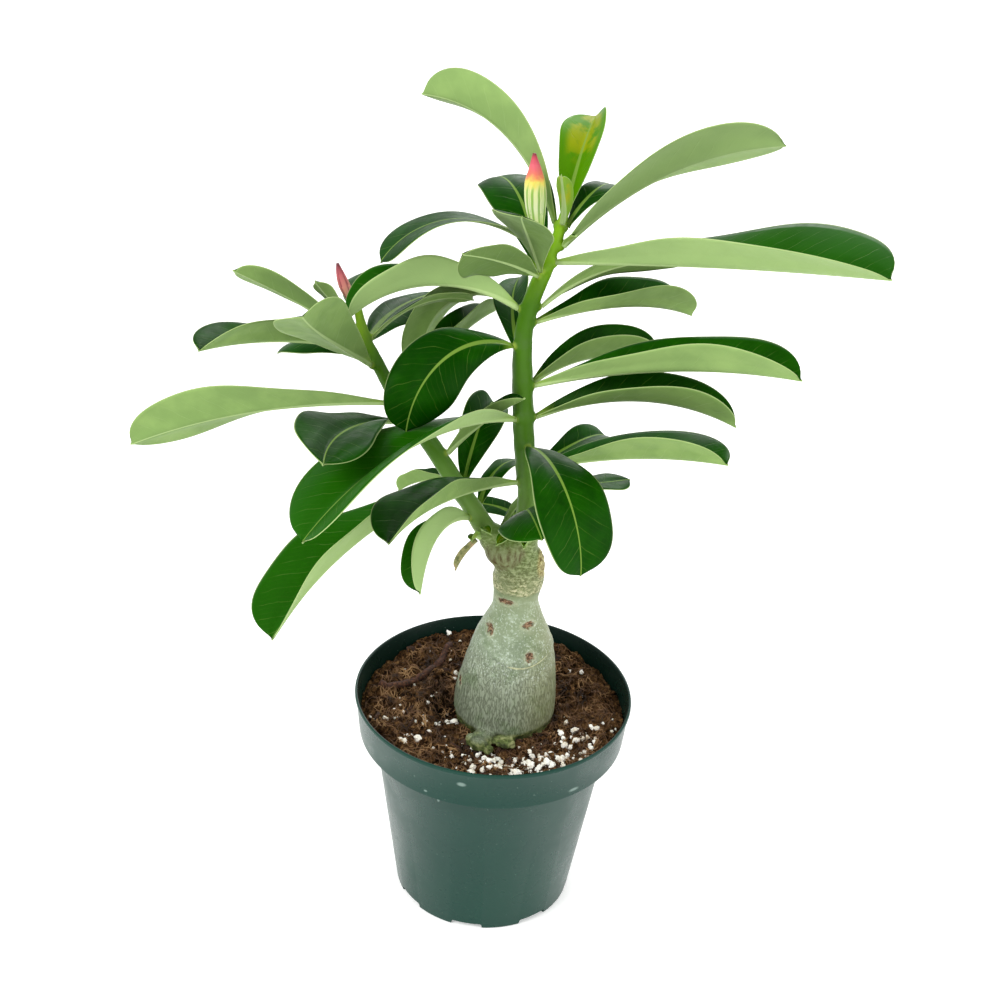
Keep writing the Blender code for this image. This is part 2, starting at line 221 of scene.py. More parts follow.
pot_outline = (
    (0, 0), (DISC, 0), (DISC + 1, CHANNEL), (FOOT - RING, CHANNEL), (FOOT - RING + 1, 0), (FOOT - 0.9, 0),
    (FOOT - 0.2, 0.5), (FOOT, 1.3), (BODY_TOP - 0.15, SHOULDER - 1.6), (BODY_TOP + 0.5, SHOULDER - 0.6),
    (BODY_TOP + 1.6, SHOULDER), (BAND_FOOT - 1.0, SHOULDER + 0.1), (BAND_FOOT - 0.2, SHOULDER + 0.5),
    (BAND_FOOT, SHOULDER + 1.4), (RIM - 0.7, TALL - 2.4), (RIM - 0.15, TALL - 1.7), (RIM, TALL - 0.9),
    (RIM - 0.15, TALL - 0.25), (RIM - 0.6, TALL), (RIM - WALL + 0.2, TALL - 0.1),
    (RIM - WALL - 0.3, TALL - 0.8), (BAND_FOOT - WALL - 0.3, SHOULDER + 2.4),
    (BAND_FOOT - WALL - 1.5, SHOULDER + WALL), (BODY_TOP - WALL, SHOULDER + WALL - 0.6),
    (FOOT - WALL + 0.8, CHANNEL + WALL + 1), (FOOT - WALL - 2, CHANNEL + WALL), (0, CHANNEL + WALL),
)
pot = turn_outline(pot_outline, 144)

NOTCHES = 8
for notch in range(NOTCHES):
    turn = math.radians(-98) + 2 * math.pi * notch / NOTCHES
    middle = FOOT - RING / 2
    bpy.ops.object.select_all(action="DESELECT")
    bpy.ops.mesh.primitive_cube_add(
        size=1, location=(middle * MM * math.cos(turn), middle * MM * math.sin(turn), 0.3 * MM),
        rotation=(0, 0, turn), scale=((RING + 9) * MM, 13 * MM, 4.6 * MM))
    cutter = bpy.context.object
    edge = cutter.modifiers.new("round", "BEVEL")
    edge.width = 0.9 * MM
    edge.segments = 3
    cut = pot.modifiers.new("notch", "BOOLEAN")
    cut.operation = "DIFFERENCE"
    cut.object = cutter
    apply_modifiers(pot)
    bpy.data.objects.remove(cutter, do_unlink=True)

# Polypropylene has a soft satin gloss, is darker in the shade of its inside, and picks up dust and rubs.
pot_plastic, tree, shader = new_material("green_polypropylene", Roughness=0.3, IOR=1.49)
shader.inputs["Specular IOR Level"].default_value = 0.13
coordinates = add(tree, "ShaderNodeTexCoord")
place = coordinates.outputs["Object"]
cloudy = noise_at(tree, place, 60, 2.0)
green = ramp(tree, cloudy, (0.35, "#193b33"), (0.65, "#1c4036"))
sideways = add(tree, "ShaderNodeVectorMath", {0: place, 1: (1, 1, 0)}, operation="MULTIPLY").outputs[0]
facing = add(tree, "ShaderNodeVectorMath", {0: sideways, 1: coordinates.outputs["Normal"]},
             operation="DOT_PRODUCT").outputs["Value"]
green = mix(tree, fade(tree, facing, -0.02, 0.0, 0.75, 0), green, "#06120c")
specks = noise_at(tree, place, 1.1, 1.0)
green = mix(tree, fade(tree, specks, 0.74, 0.79, 0, 0.3), green, "#7d968a")
for scuff, sizes in (((-10, -54.8, 89.5), (1.8, 4, 1.0)), ((34, -43.5, 81.5), (2.0, 4, 0.8)),
                     ((-24, -49.5, 81), (0.7, 4, 0.5)), ((7, -47.5, 75), (0.6, 4, 0.5)),
                     ((-19, -44, 72), (0.5, 4, 0.9))):
    rub = fade(tree, spot(tree, place, scuff, sizes), 0.5, 1.3, 0.55, 0)
    green = mix(tree, rub, green, "#93a9a0")
tree.links.new(green, shader.inputs["Base Color"])
rubbed = noise_at(tree, place, 14, 3.0, 0.6)
tree.links.new(fade(tree, rubbed, 0.35, 0.7, 0.25, 0.34), shader.inputs["Roughness"])
bump(tree, shader, noise_at(tree, place, 0.9, 2.0), 0.02, 0.4)
finished("pot_moulded", pot, pot_plastic, node="pot", slot="pot_plastic")
only(pot)
bpy.ops.object.shade_smooth_by_angle(angle=math.radians(35))


# ---------------------------------------------------------------------------------------------------
# The potting mix: damp peat and coir with perlite, poured to about 10 mm under the lip and left
# loose. The bed is one dished and lumpy surface with a hollow left of the caudex, and peat crumbs,
# bark, coir fibres and perlite grains lie on it.

SOIL_TOP = 85.5
SOIL_RADIUS = 54.2
CAUDEX_X = 5.0


def soil_height(x, y):
    """Height of the potting mix at a place, in mm."""
    around = math.hypot(x, y) / SOIL_RADIUS
    p = Vector((x, y, 3.0))
    big = noise.fractal(p / 17, 1.0, 2.0, 3)
    crumbs = noise.fractal(p / 5.2, 0.7, 2.2, 5)
    clods = max(0.0, noise.noise(p / 7.5 + Vector((9, 2, 0)))) ** 1.3
    hollow = math.exp(-((x + 19) / 7) ** 2 - ((y - 3) / 11) ** 2)
    behind = 4.6 * max(0.0, y / SOIL_RADIUS) ** 1.5 + 1.2 * max(0.0, -x / SOIL_RADIUS)
    behind += 1.5 * max(0.0, x / SOIL_RADIUS)
    dish = -0.7 * around ** 6 - 3.4 * math.exp(-((x - 3) / 22) ** 2 - ((y + 27) / 10) ** 2)
    return SOIL_TOP + behind + dish + 1.7 * big + 2.0 * crumbs + 3.3 * clods - 6.5 * hollow


def disc_grid(radius, cuts):
    """A round sheet made from a square grid whose rows are eased out to a circle."""
    bpy.ops.object.select_all(action="DESELECT")
    bpy.ops.mesh.primitive_grid_add(x_subdivisions=cuts, y_subdivisions=cuts, size=2)
    sheet = bpy.context.object
    for vertex in sheet.data.vertices:
        u, v = vertex.co.x, vertex.co.y
        vertex.co.x = radius * MM * u * math.sqrt(1 - v * v / 2)
        vertex.co.y = radius * MM * v * math.sqrt(1 - u * u / 2)
    return sheet


BED_CUTS = 250
bed = disc_grid(SOIL_RADIUS, BED_CUTS)
for vertex in bed.data.vertices:
    vertex.co.z = soil_height(vertex.co.x / MM, vertex.co.y / MM) * MM
only(bed)
bpy.ops.object.mode_set(mode="EDIT")
bpy.ops.mesh.select_mode(type="EDGE")
bpy.ops.mesh.select_all(action="DESELECT")
bpy.ops.mesh.select_non_manifold()
bpy.ops.mesh.extrude_region_move(TRANSFORM_OT_translate={"value": (0, 0, -7 * MM)})
bpy.ops.transform.resize(value=(0.985, 0.985, 0.0), center_override=(0, 0, (SHOULDER + 1.6) * MM))
bpy.ops.mesh.edge_face_add()
bpy.ops.mesh.select_all(action="SELECT")
bpy.ops.mesh.normals_make_consistent(inside=False)
bpy.ops.object.mode_set(mode="OBJECT")

# Peat is nearly black when wet and red-brown where it dries on the crumbs' tops. Painted light makes the dry
# patches stronger towards the right, and painted shade darkens the hollow left of the caudex.
peat, tree, shader = new_material("peat_and_coir", Roughness=0.95, IOR=1.4)
shader.inputs["Specular IOR Level"].default_value = 0.12
place = object_place(tree)
split = add(tree, "ShaderNodeSeparateXYZ", {"Vector": place}).outputs
patch = noise_at(tree, place, 12, 4.0, 0.65)
crumb = noise_at(tree, place, 2.4, 8.0, 0.75)
brown = ramp(tree, crumb, (0.36, "#0b0603"), (0.46, "#301d0f"), (0.55, "#5f4227"), (0.66, "#a0784e"))
# Dry patches of the peat, made stronger towards the right side of the mix as painted light.
dry_and_lit = product(tree, fade(tree, patch, 0.4, 0.62), fade(tree, split["X"], -0.05, 0.04, 0.45, 0.9))
brown = mix(tree, dry_and_lit, brown, ramp(tree, crumb, (0.36, "#2e1c0e"), (0.50, "#6a4b2e"), (0.62, "#a07c56")))
# Painted shade: the mix in and round the hollow left of the caudex is darkened nearly to black.
hollow_shade = spot(tree, place, (-20, 2, 80), (10, 16, 12))
brown = mix(tree, fade(tree, hollow_shade, 0.6, 1.2, 0.8, 0), brown, "#0a0502")
for way, stretch in enumerate(((1, 0.15, 1), (0.15, 1, 1))):
    thread = noise_at(tree, place, 0.9 + 0.2 * way, 2.0, stretch=stretch)
    brown = mix(tree, fade(tree, thread, 0.63, 0.70, 0, 0.45), brown, "#80603d")
tree.links.new(brown, shader.inputs["Base Color"])
bump(tree, shader, noise_at(tree, place, 1.3, 8.0, 0.8), 1.6, 1.0)
finished("potting_mix_bed", bed, peat, node="soil", slot="potting_mix")

rng = np.random.default_rng(41)


def template_ball(divisions):
    """Points and triangles of a unit ball from Blender's icosphere."""
    bpy.ops.object.select_all(action="DESELECT")
    bpy.ops.mesh.primitive_ico_sphere_add(subdivisions=divisions, radius=1)
    ball = bpy.context.object
    points = np.array([v.co for v in ball.data.vertices])
    faces = np.array([p.vertices for p in ball.data.polygons])
    bpy.data.objects.remove(ball, do_unlink=True)
    return points, faces


def random_turn():
    """A rotation matrix from a random unit quaternion."""
    q = rng.normal(size=4)
    q /= np.linalg.norm(q)
    w, x, y, z = q
    return np.array([
        [1 - 2 * (y * y + z * z), 2 * (x * y - z * w), 2 * (x * z + y * w)],
        [2 * (x * y + z * w), 1 - 2 * (x * x + z * z), 2 * (y * z - x * w)],
        [2 * (x * z - y * w), 2 * (y * z + x * w), 1 - 2 * (x * x + y * y)],
    ])


def mesh_of(name, parts):
    """One mesh from (points in mm, faces) parts."""
    points, faces, first = [], [], 0
    for part_points, part_faces in parts:
        points.extend((part_points * MM).tolist())
        faces.extend((np.asarray(part_faces) + first).tolist())
        first += len(part_points)
    mesh = bpy.data.meshes.new(name)
    mesh.from_pydata(points, [], faces)
    return mesh


def lumps(name, places, sizes, flat, rough, ball, finish, sink=0.25, smooth=True):
    """Irregular grains of given sizes at places on the mix."""
    points, faces = ball
    parts = []
    for (x, y), size in zip(places, sizes):
        scale = size / 2 * np.array([1, rng.uniform(0.65, 1), flat * rng.uniform(1, 1.6)])
        seed = Vector(rng.uniform(0, 90, 3))
        swell = [1 + rough * (noise.noise(Vector(p) * 1.6 + seed) + 0.6 * noise.noise(Vector(p) * 4 + seed))
                 for p in points]
        grain = (points * np.array(swell)[:, None] * scale) @ random_turn().T
        grain += (x, y, soil_height(x, y) + size * (0.5 - sink) * 0.8)
        parts.append((grain, faces))
    return finished(name, mesh_of(name, parts), finish, slot="potting_mix", smooth=smooth)


ON_MIX_RADIUS = 52.5


def on_mix(count, centre, spread, keep_out=20.0, inside=ON_MIX_RADIUS):
    """Random places on the mix around a centre, clear of the caudex and the wall."""
    places = []
    while len(places) < count:
        x, y = rng.normal(centre, spread)
        if math.hypot(x, y) < inside and math.hypot(x - CAUDEX_X, y + 1) > keep_out:
            places.append((x, y))
    return places


CRUMBS = 1900
crumb_places = on_mix(CRUMBS, (2, 2), (34, 34))
lumps("peat_crumbs", crumb_places, rng.gamma(2.2, 0.45, CRUMBS) + 0.5, 0.4, 1.0, template_ball(2), peat)

# Drifts of perlite: how many grains, round which place, and how far they spread.
PERLITE_DRIFTS = (
    (210, (22, -36.5), (14, 7)), (60, (36, -22), (8, 11)), (24, (3, -33), (14, 5)), (60, (0, 0), (36, 36)),
    (9, (-12, 38), (7, 4)), (24, (-19, -17), (7, 6)), (10, (-36, -14), (5, 8)),
)
perlite_places = [place for drift in PERLITE_DRIFTS for place in on_mix(*drift)]
perlite_sizes = np.clip(rng.gamma(3.2, 0.5, len(perlite_places)), 0.7, 3.4)
# Perlite is a foamed glass: chalk white, dull and pitted, with some grains stained by the peat.
perlite, tree, shader = new_material("perlite", Roughness=0.9)
place = object_place(tree)
stain = noise_at(tree, place, 6, 4.0)
white = ramp(tree, stain, (0.42, "#fdfbf6"), (0.58, "#ece4d6"), (0.68, "#b39c80"))
pits = noise_at(tree, place, 0.5, 3.0)
tree.links.new(mix(tree, fade(tree, pits, 0.55, 0.7, 0, 0.35), white, "#a79a86"), shader.inputs["Base Color"])
bump(tree, shader, pits, 0.25, 0.8)
lumps("perlite_grains", perlite_places, perlite_sizes, 0.55, 0.55, template_ball(2), perlite,
      sink=0.2, smooth=False)

# Bark and wood chips, thin and angular, from 3 to 9 mm.
chip_wood, tree, shader = new_material("bark_chips", Roughness=0.85)
place = object_place(tree)
grain = noise_at(tree, place, 0.7, 4.0, stretch=(0.25, 1, 1))
wood = ramp(tree, grain, (0.35, "#1c0f07"), (0.55, "#45291a"), (0.7, "#74502f"))
tree.links.new(wood, shader.inputs["Base Color"])
bump(tree, shader, grain, 0.4, 0.8)
CHIPS = 46
chip_places = on_mix(CHIPS, (-8, 4), (34, 34))
lumps("bark_chips", chip_places, rng.uniform(2.5, 6, CHIPS), 0.12, 0.6, template_ball(2), chip_wood,
      sink=0.35)


def strand(points, radii, sides):
    """A closed tube through points, as (points, faces): quads with fan-closed ends."""
    points = np.asarray(points, float)
    ahead = np.gradient(points, axis=0)
    ahead /= np.linalg.norm(ahead, axis=1, keepdims=True)
    level = np.cross(ahead, (0.0, 0.0, 1.0) if abs(ahead[0][2]) < 0.9 else (0.0, 1.0, 0.0))
    level /= np.linalg.norm(level, axis=1, keepdims=True)
    rise = np.cross(level, ahead)
    turn = np.linspace(0, 2 * math.pi, sides, endpoint=False)
    ring = np.cos(turn)[None, :, None] * level[:, None] + np.sin(turn)[None, :, None] * rise[:, None]
    tube = (points[:, None] + ring * np.asarray(radii)[:, None, None]).reshape(-1, 3)
    tube = np.concatenate([tube, points[:1], points[-1:]])
    faces = []
    last = (len(points) - 1) * sides
    for side in range(sides):
        beyond = (side + 1) % sides
        for start in range(0, last, sides):
            a, b = start + side, start + beyond
            faces.append((a, b, b + sides))
            faces.append((a, b + sides, a + sides))
        faces.append((beyond, side, len(tube) - 2))
        faces.append((last + side, last + beyond, len(tube) - 1))
    return tube, faces


# Coir fibres: stiff brown hairs, mostly 3 to 9 mm long, which lie across the crumbs.
FIBRES = 1700
FIBRE_POINTS = 8
fibres = []
for x, y in on_mix(FIBRES, (-2, 2), (34, 34), inside=51):
    heading = rng.uniform(0, 2 * math.pi)
    length = 3 + rng.gamma(1.5, 2.4)
    bend = rng.normal(0, 0.9)
    trail = []
    for s in np.linspace(0, 1, FIBRE_POINTS):
        way = heading + bend * s
        px = x + length * s * math.cos(way)
        py = y + length * s * math.sin(way)
        out = max(1.0, math.hypot(px, py) / ON_MIX_RADIUS)
        px, py = px / out, py / out
        arch = rng.uniform(0.2, 1.1) * math.sin(math.pi * s)
        trail.append((px, py, soil_height(px, py) + 0.3 + arch))
    fibres.append(strand(trail, np.full(FIBRE_POINTS, rng.uniform(0.08, 0.22)), 4))
coir, tree, shader = new_material("coir_fibre", Roughness=0.7)
place = object_place(tree)
hair = ramp(tree, noise_at(tree, place, 8, 2.0), (0.35, "#2c1a0d"), (0.52, "#6d4c2e"), (0.66, "#a88258"))
tree.links.new(hair, shader.inputs["Base Color"])
finished("coir_fibres", mesh_of("coir_fibres", fibres), coir, slot="potting_mix")


# ---------------------------------------------------------------------------------------------------
# The dry root: a woody strip on the mix left of the caudex, dark and cracked along its length.

root_line = ((-48, 8.5), (-42, 10), (-36, 13), (-31, 17.5), (-27, 23), (-24, 29), (-21.5, 36), (-20, 40))
root_points = []
root_radii = []
for step in np.linspace(0, len(root_line) - 1, 40):
    x, y = (np.interp(step, range(len(root_line)), column) for column in zip(*root_line))
    wave = noise.noise(Vector((step * 0.6, 2.0, 0.0)))
    root_points.append((x + wave, y + 0.6 * wave, soil_height(x, y) + 1.2 + 0.5 * wave))
    root_radii.append(1.45 + 0.35 * noise.noise(Vector((step * 0.9, 7.0, 0.0))))
root_radii[0] = root_radii[-1] = 0.7
root_wood, tree, shader = new_material("dry_root_wood", Roughness=0.8)
place = object_place(tree)
grain = noise_at(tree, place, 1.0, 5.0, 0.65)
wood = ramp(tree, grain, (0.35, "#210f07"), (0.52, "#432313"), (0.68, "#6b4229"))
tree.links.new(wood, shader.inputs["Base Color"])
bump(tree, shader, grain, 0.5, 0.9)
root_mesh = mesh_of("root_strip_wood", [strand(root_points, root_radii, 12)])
finished("root_strip_wood", root_mesh, root_wood, node="root_strip", slot="dry_root")


# ---------------------------------------------------------------------------------------------------
# The trunk: the swollen caudex, its neck with the rough cream ring of an old cut, and the two stems
# that grow from it, in one skin. Tubes through the centre lines are fused by a fine remesh, and the
# skin's lumps, scars and creases are then pushed into the mesh.

PLANT_Y = -2.0
CAUDEX_LINE = (
    (52, 5.6, 5.0), (60, 5.5, 11.0), (69, 5.4, 15.5), (77, 5.2, 18.6), (85, 5.0, 20.4), (94, 4.9, 20.8),
    (104, 5.5, 19.6), (114, 6.2, 18.0), (124, 6.6, 15.4), (131, 6.7, 12.6), (137, 6.8, 10.2),
    (143, 6.5, 9.0), (150, 6.9, 9.9), (156, 7.2, 9.8), (161, 7.2, 9.0), (165, 7.4, 7.4),
)
MAIN_LINE = (
    (7.2, 156, 6.6), (7.6, 164, 6.2), (8.8, 176, 4.9), (8.6, 190, 4.2), (7, 200, 4), (5.5, 213, 4),
    (4.1, 229, 4), (2.9, 245, 3.8), (2.8, 257, 3.4), (4.3, 267, 3.2), (6.7, 275, 3.1), (8.8, 281, 2.9),
    (10.2, 287, 2.6), (12, 292, 2.3), (13.3, 298, 1.9), (14.4, 305, 1.2),
)
LEFT_LINE = (
    (5.5, 155, 6.0), (0.5, 162, 5.6), (-5.2, 170, 4.5), (-11.9, 181, 3.9), (-18.6, 191, 3.6),
    (-24.7, 201, 3.5), (-30, 209, 3.4), (-35.9, 217, 3.2), (-41, 224, 3), (-45.3, 231, 2.8),
    (-48.7, 237, 2.6), (-52.2, 244, 2.4), (-54.9, 249, 2.3), (-56.6, 255, 2), (-58, 262, 1.4),
)


def eased(line, count):
    """A smooth run of points through a line's points, by Catmull-Rom."""
    line = np.asarray(line, float)
    padded = np.concatenate([2 * line[:1] - line[1:2], line, 2 * line[-1:] - line[-2:-1]])
    run = []
    for at in np.linspace(0, len(line) - 1, count):
        first = min(int(at), len(line) - 2)
        t = at - first
        a, b, c, d = padded[first:first + 4]
        run.append(0.5 * (2 * b + (c - a) * t + (2 * a - 5 * b + 4 * c - d) * t * t
                          + (3 * b - a - 3 * c + d) * t ** 3))
    return np.array(run)


def fused(name, parts, voxel, relax):
    """Fuse closed parts into one skin by a voxel remesh, and relax its steps."""
    piece = bpy.data.objects.new(name, mesh_of(name, parts))
    bpy.context.scene.collection.objects.link(piece)
    remesh = piece.modifiers.new("fuse", "REMESH")
    remesh.mode = "VOXEL"
    remesh.voxel_size = voxel * MM
    smooth = piece.modifiers.new("relax", "SMOOTH")
    smooth.factor = 0.6
    smooth.iterations = relax
    apply_modifiers(piece)
    return piece


caudex_run = eased([(x, PLANT_Y / 2, z, r) for z, x, r in CAUDEX_LINE], 60)
main_run = eased([(x, PLANT_Y, z, r) for x, z, r in MAIN_LINE], 90)
left_run = eased([(x, PLANT_Y, z, r) for x, z, r in LEFT_LINE], 90)
trunk_parts = [strand(run[:, :3], run[:, 3], sides)
               for run, sides in ((caudex_run, 96), (main_run, 32), (left_run, 32))]
# The leaves. A leaf leaves its stem at a height, with a heading (0 is +X, 90 is +Y) and a rise, and
# droops and swings on the way to its tip. Its blade has a length and a width, rolls about its midrib,
# folds up along it, curls at the margins and twists. These rows weren't chosen by hand: a separate
# optimising program worked them out, and 41 of the 45 stand exactly as it left them.
LEAVES = {
    "leaf_main_01": ("main", 298, 133, 59, 61, 33, 71, 25, 36, 22, 25, 26),
    "leaf_main_02": ("main", 301, 74, 52, 49, 5, 50, 19, 6, 27, 13, -30),
    "leaf_main_03": ("main", 300, -87, 52, -5, -21, 26, 6, -25, 47, -25, 31),
    "leaf_main_04": ("main", 291, -3, 49, 41, -5, 85, 37, -21, 27, -33, -20),
    "leaf_main_05": ("main", 297, 34, 58, 83, 35, 30, 11, -5, 5, -4, 7),
    "leaf_main_06": ("main", 285, -31, 14, 2, -13, 130, 44, -20, 37, -12, 23),
    "leaf_main_07": ("main", 267, 9, 42, 52, -5, 55, 19, -38, 29, -54, -6),
    "leaf_main_08": ("main", 261, 5, 19, 46, 28, 63, 24, 2, 50, -8, -13),
    "leaf_main_09": ("main", 236, 32, 25, 55, -20, 53, 24, -8, 47, 25, 9),
    "leaf_main_10": ("main", 236, -7, 19, 15, -20, 99, 29, -12, 49, -4, 5),
    "leaf_main_11": ("main", 223, -3, 26, 50, -6, 76, 23, 14, 41, 16, -30),
    "leaf_main_12": ("main", 202, -16, 23, 14, -18, 77, 32, -3, 38, -14, -19),
    "leaf_main_13": ("main", 200, 28, 29, 58, 36, 40, 12, -9, 20, 0, 30),
    "leaf_main_14": ("main", 192, 26, -8, -4, 3, 40, 16, -19, 23, -45, 19),
    "leaf_main_15": ("main", 212, -69, 22, 110, 8, 68, 30, -11, 13, -14, 4),
    "leaf_main_16": ("main", 252, -145, 24, 104, 20, 62, 25, -29, 12, -41, -23),
    "leaf_main_17": ("main", 266, -172, 31, 70, 18, 66, 23, 58, 42, 14, -52),
    "leaf_main_18": ("main", 280, -127, 30, 14, 0, 46, 20, 25, 0, -20, 28),
    "leaf_main_19": ("main", 288, 177, 37, 92, 27, 64, 25, 22, 4, 0, -20),
    "leaf_main_20": ("main", 282, -115, 54, 37, 27, 57, 22, -30, 2, -15, 17),
    "leaf_main_21": ("main", 279, 113, 60, 89, -1, 59, 22, -15, 3, -17, 9),
    "leaf_main_22": ("main", 246, 108, 35, 38, -31, 45, 14, -13, 25, 0, -14),
    "leaf_left_01": ("left", 228, 33, 48, 55, 30, 54, 17, -21, 52, -8, -2),
    "leaf_main_23": ("main", 264, 131, 11, 117, 39, 72, 22, 36, 35, -44, -22),
    "leaf_main_24": ("main", 223, -129, 19, 57, -3, 110, 45, 30, 27, -20, -11),
    "leaf_main_25": ("main", 196, -147, 7, 11, 39, 73, 29, 22, 45, -22, 2),
    "leaf_main_26": ("main", 175, 113, -6, 14, 35, 32, 7, -27, 12, -18, -6),
    "leaf_main_27": ("main", 173, -97, 68, 85, 25, 58, 26, 36, 6, -34, -19),
    "leaf_left_02": ("left", 248, 159, 28, 3, 34, 52, 17, 35, 21, -13, 16),
    "leaf_left_03": ("left", 247, -157, 16, 10, 34, 68, 26, 38, 40, -16, -25),
    "leaf_left_04": ("left", 241, -128, 37, 5, 38, 68, 26, 37, 30, -13, -8),
    "leaf_left_05": ("left", 243, 160, 12, 57, -36, 44, 20, -20, 19, -35, 2),
    "leaf_left_06": ("left", 254, 174, 52, 1, 28, 22, 10, 27, 17, -21, 13),
    "leaf_left_07": ("left", 261, 101, 2, 4, -37, 43, 18, -21, 10, -28, 8),
    "leaf_left_08": ("left", 248, 85, 3, 9, -33, 59, 15, 28, 4, -44, -18),
    "leaf_left_09": ("left", 225, -175, -1, 25, -2, 99, 30, 32, 25, -13, 32),
    "leaf_left_10": ("left", 219, -127, 20, 15, 42, 81, 29, 15, 32, -29, -34),
    "leaf_left_11": ("left", 192, -150, -15, 20, 30, 90, 40, 28, 33, 1, -3),
    "leaf_left_12": ("left", 180, -124, 24, 83, 29, 49, 20, 39, 37, 27, 24),
    "leaf_left_13": ("left", 190, 70, 70, 80, 7, 41, 18, 3, 37, -16, 30),
    "leaf_left_14": ("left", 206, -15, 54, 21, 3, 39, 10, -18, 33, 23, 13),
    "leaf_left_15": ("left", 181, 69, 53, 89, -26, 34, 10, 2, 15, -30, -22),
    "leaf_left_16": ("left", 171, 41, 55, 0, -32, 18, 6, -37, 42, -37, 1),
    "leaf_left_17": ("left", 251, 25, 43, 63, -3, 42, 13, -27, 14, -30, -14),
    "leaf_left_18": ("left", 191, 133, -11, 36, 19, 30, 10, 10, 45, 12, -1),
}
SEAT = 0.45


def stem_place(stem, at):
    """Centre and radius of a stem at a height, and its direction."""
    run = main_run if stem == "main" else left_run
    x, above, radius = (np.interp(h, run[:, 2], run[:, c]) for h, c in ((at, 0), (at + 1, 0), (at, 3)))
    along = np.array([above - x, 0.0, 1.0])
    return x, radius, along / np.linalg.norm(along)


def leaf_foot(stem, height, heading, rise):
    """Where a leaf's stalk starts, on the skin of its stem."""
    x, radius, stem_along = stem_place(stem, height)
    start = math.radians(heading)
    outward = np.array([math.cos(start), math.sin(start), 0.0])
    clear = radius + SEAT + 0.65 * abs(math.sin(math.radians(rise)))
    reach = clear / np.linalg.norm(np.cross(outward, stem_along))
    return np.array([x, PLANT_Y, height]) + reach * outward


ball_points, ball_faces = template_ball(3)
# The swollen collar under the left stem, and the shoulder of the neck behind it.
for centre, size in (((1.6, -4.4, 165.5), (8.6, 6.4, 7.6)), ((-4.0, -3.0, 170.0), (5.4, 4.8, 6.2)),
                     ((9.6, -2.0, 160.0), (6.8, 7.0, 8.0))):
    trunk_parts.append((ball_points * size + centre, ball_faces))
# A small swelling carries each leaf's stalk.
leaf_feet = []
for row in LEAVES.values():
    foot = leaf_foot(*row[:4])
    inward = np.array([stem_place(row[0], row[1])[0], PLANT_Y, row[1] - 1.0]) - foot
    inward /= np.linalg.norm(inward)
    width = 1.25 + 0.022 * row[7]
    leaf_feet.append(foot + inward * 0.7)
    trunk_parts.append((ball_points * (width, width, width * 1.1) + foot + inward * width * 0.75, ball_faces))
# Green knobs at the caudex's foot, where it was cut back.
for centre, size in (((-4.5, -26.5, 87.3), (4.2, 3.6, 3.8)), ((-0.4, -28, 86.4), (3.1, 2.8, 2.9)),
                     ((-8.0, -23.6, 87), (2.9, 2.6, 3.6)), ((-3.0, -22, 87), (5.5, 4.6, 3.8)),
                     ((6.5, -23.4, 86.2), (4.6, 3.0, 2.6))):
    trunk_parts.append((ball_points * size + centre, ball_faces))
trunk = fused("trunk", trunk_parts, 0.62, 5)

# Scars of old leaves: place and half sizes. The first is the wide dark one under the neck's ring.
SCARS = (
    ((2.6, -9.1, 144.8), (4.1, 6, 1.7)), ((-2.8, -9.0, 131.8), (1.7, 6, 2.6)),
    ((12.0, -10.1, 135.4), (2.7, 6, 1.7)), ((13.4, -14.8, 123.5), (2.0, 6, 2.3)),
    ((-13.7, -6.2, 104.3), (0.8, 4, 2.4)), ((22.5, 4.0, 121.0), (4, 2.4, 1.6)),
    ((-8.0, 9.0, 124.0), (3, 3, 1.8)), ((9.0, 17.0, 112.0), (2.4, 6, 1.8)),
)


def trunk_push(place):
    """How far the trunk's skin stands out at a place, in mm."""
    x, y, z = place
    p = Vector((x, y, z))
    push = 0.0
    if z < 142:
        push += 0.5 * noise.noise(Vector((x / 14, y / 14, z / 26)))
        push += 0.10 * noise.noise(Vector((x / 1.5, y / 1.5, z / 6)))
    neck = math.exp(-((z - 151.5) / 2.8) ** 2)
    push += neck * (0.1 + 0.45 * abs(noise.noise(Vector((x / 2.0, y / 2.0, z / 1.0)))))
    push -= 0.4 * math.exp(-((z - 147.6) / 0.9) ** 2) * max(0.0, noise.noise(p / 6) + 0.7)
    strip = math.exp(-((x - 17) / 3) ** 2 - ((z - 161) / 6) ** 2)
    push += strip * 0.9 * abs(noise.noise(Vector((x / 1.6, y / 1.6, z / 2.2))))
    for (sx, sy, sz), (wide, deep, high) in SCARS:
        away = math.sqrt(((x - sx) / wide) ** 2 + ((y - sy) / deep) ** 2 + ((z - sz) / high) ** 2)
        if away < 2.4:
            push += 0.45 * math.exp(-(away - 1.15) ** 2 * 7) - 0.5 * math.exp(-away ** 2 * 2.5)
    if z > 163:
        push += 0.08 * noise.noise(p / 2.5) + 0.2 * noise.noise(Vector((x / 9, y / 9, z / 6)))
    if z < 90:
        push -= 1.1 * min(1.0, (90 - z) / 3) * (0.8 + noise.noise(Vector((x / 3, y / 3, z / 3))))
    # A soft shelf runs round the caudex's shoulder under the lowest scar.
    shelf = z - (119.2 + 0.02 * (x - 10.5) ** 2)
    if y < -8 and 0 < shelf < 9:
        push += 0.5 * math.exp(-(shelf / 3) ** 2)
    return push


normals = [v.normal.copy() for v in trunk.data.vertices]
for vertex, outward in zip(trunk.data.vertices, normals):
    vertex.co += outward * trunk_push(vertex.co / MM) * MM
skin_points = np.array([v.co for v in trunk.data.vertices]) / MM
seat_near = np.zeros(len(skin_points))
for foot in leaf_feet:
    seat_near = np.maximum(seat_near, np.exp(-(np.linalg.norm(skin_points - foot, axis=1) / 1.9) ** 2))
seat = trunk.data.attributes.new("leaf_seat", "FLOAT", "POINT")
seat.data.foreach_set("value", seat_near)

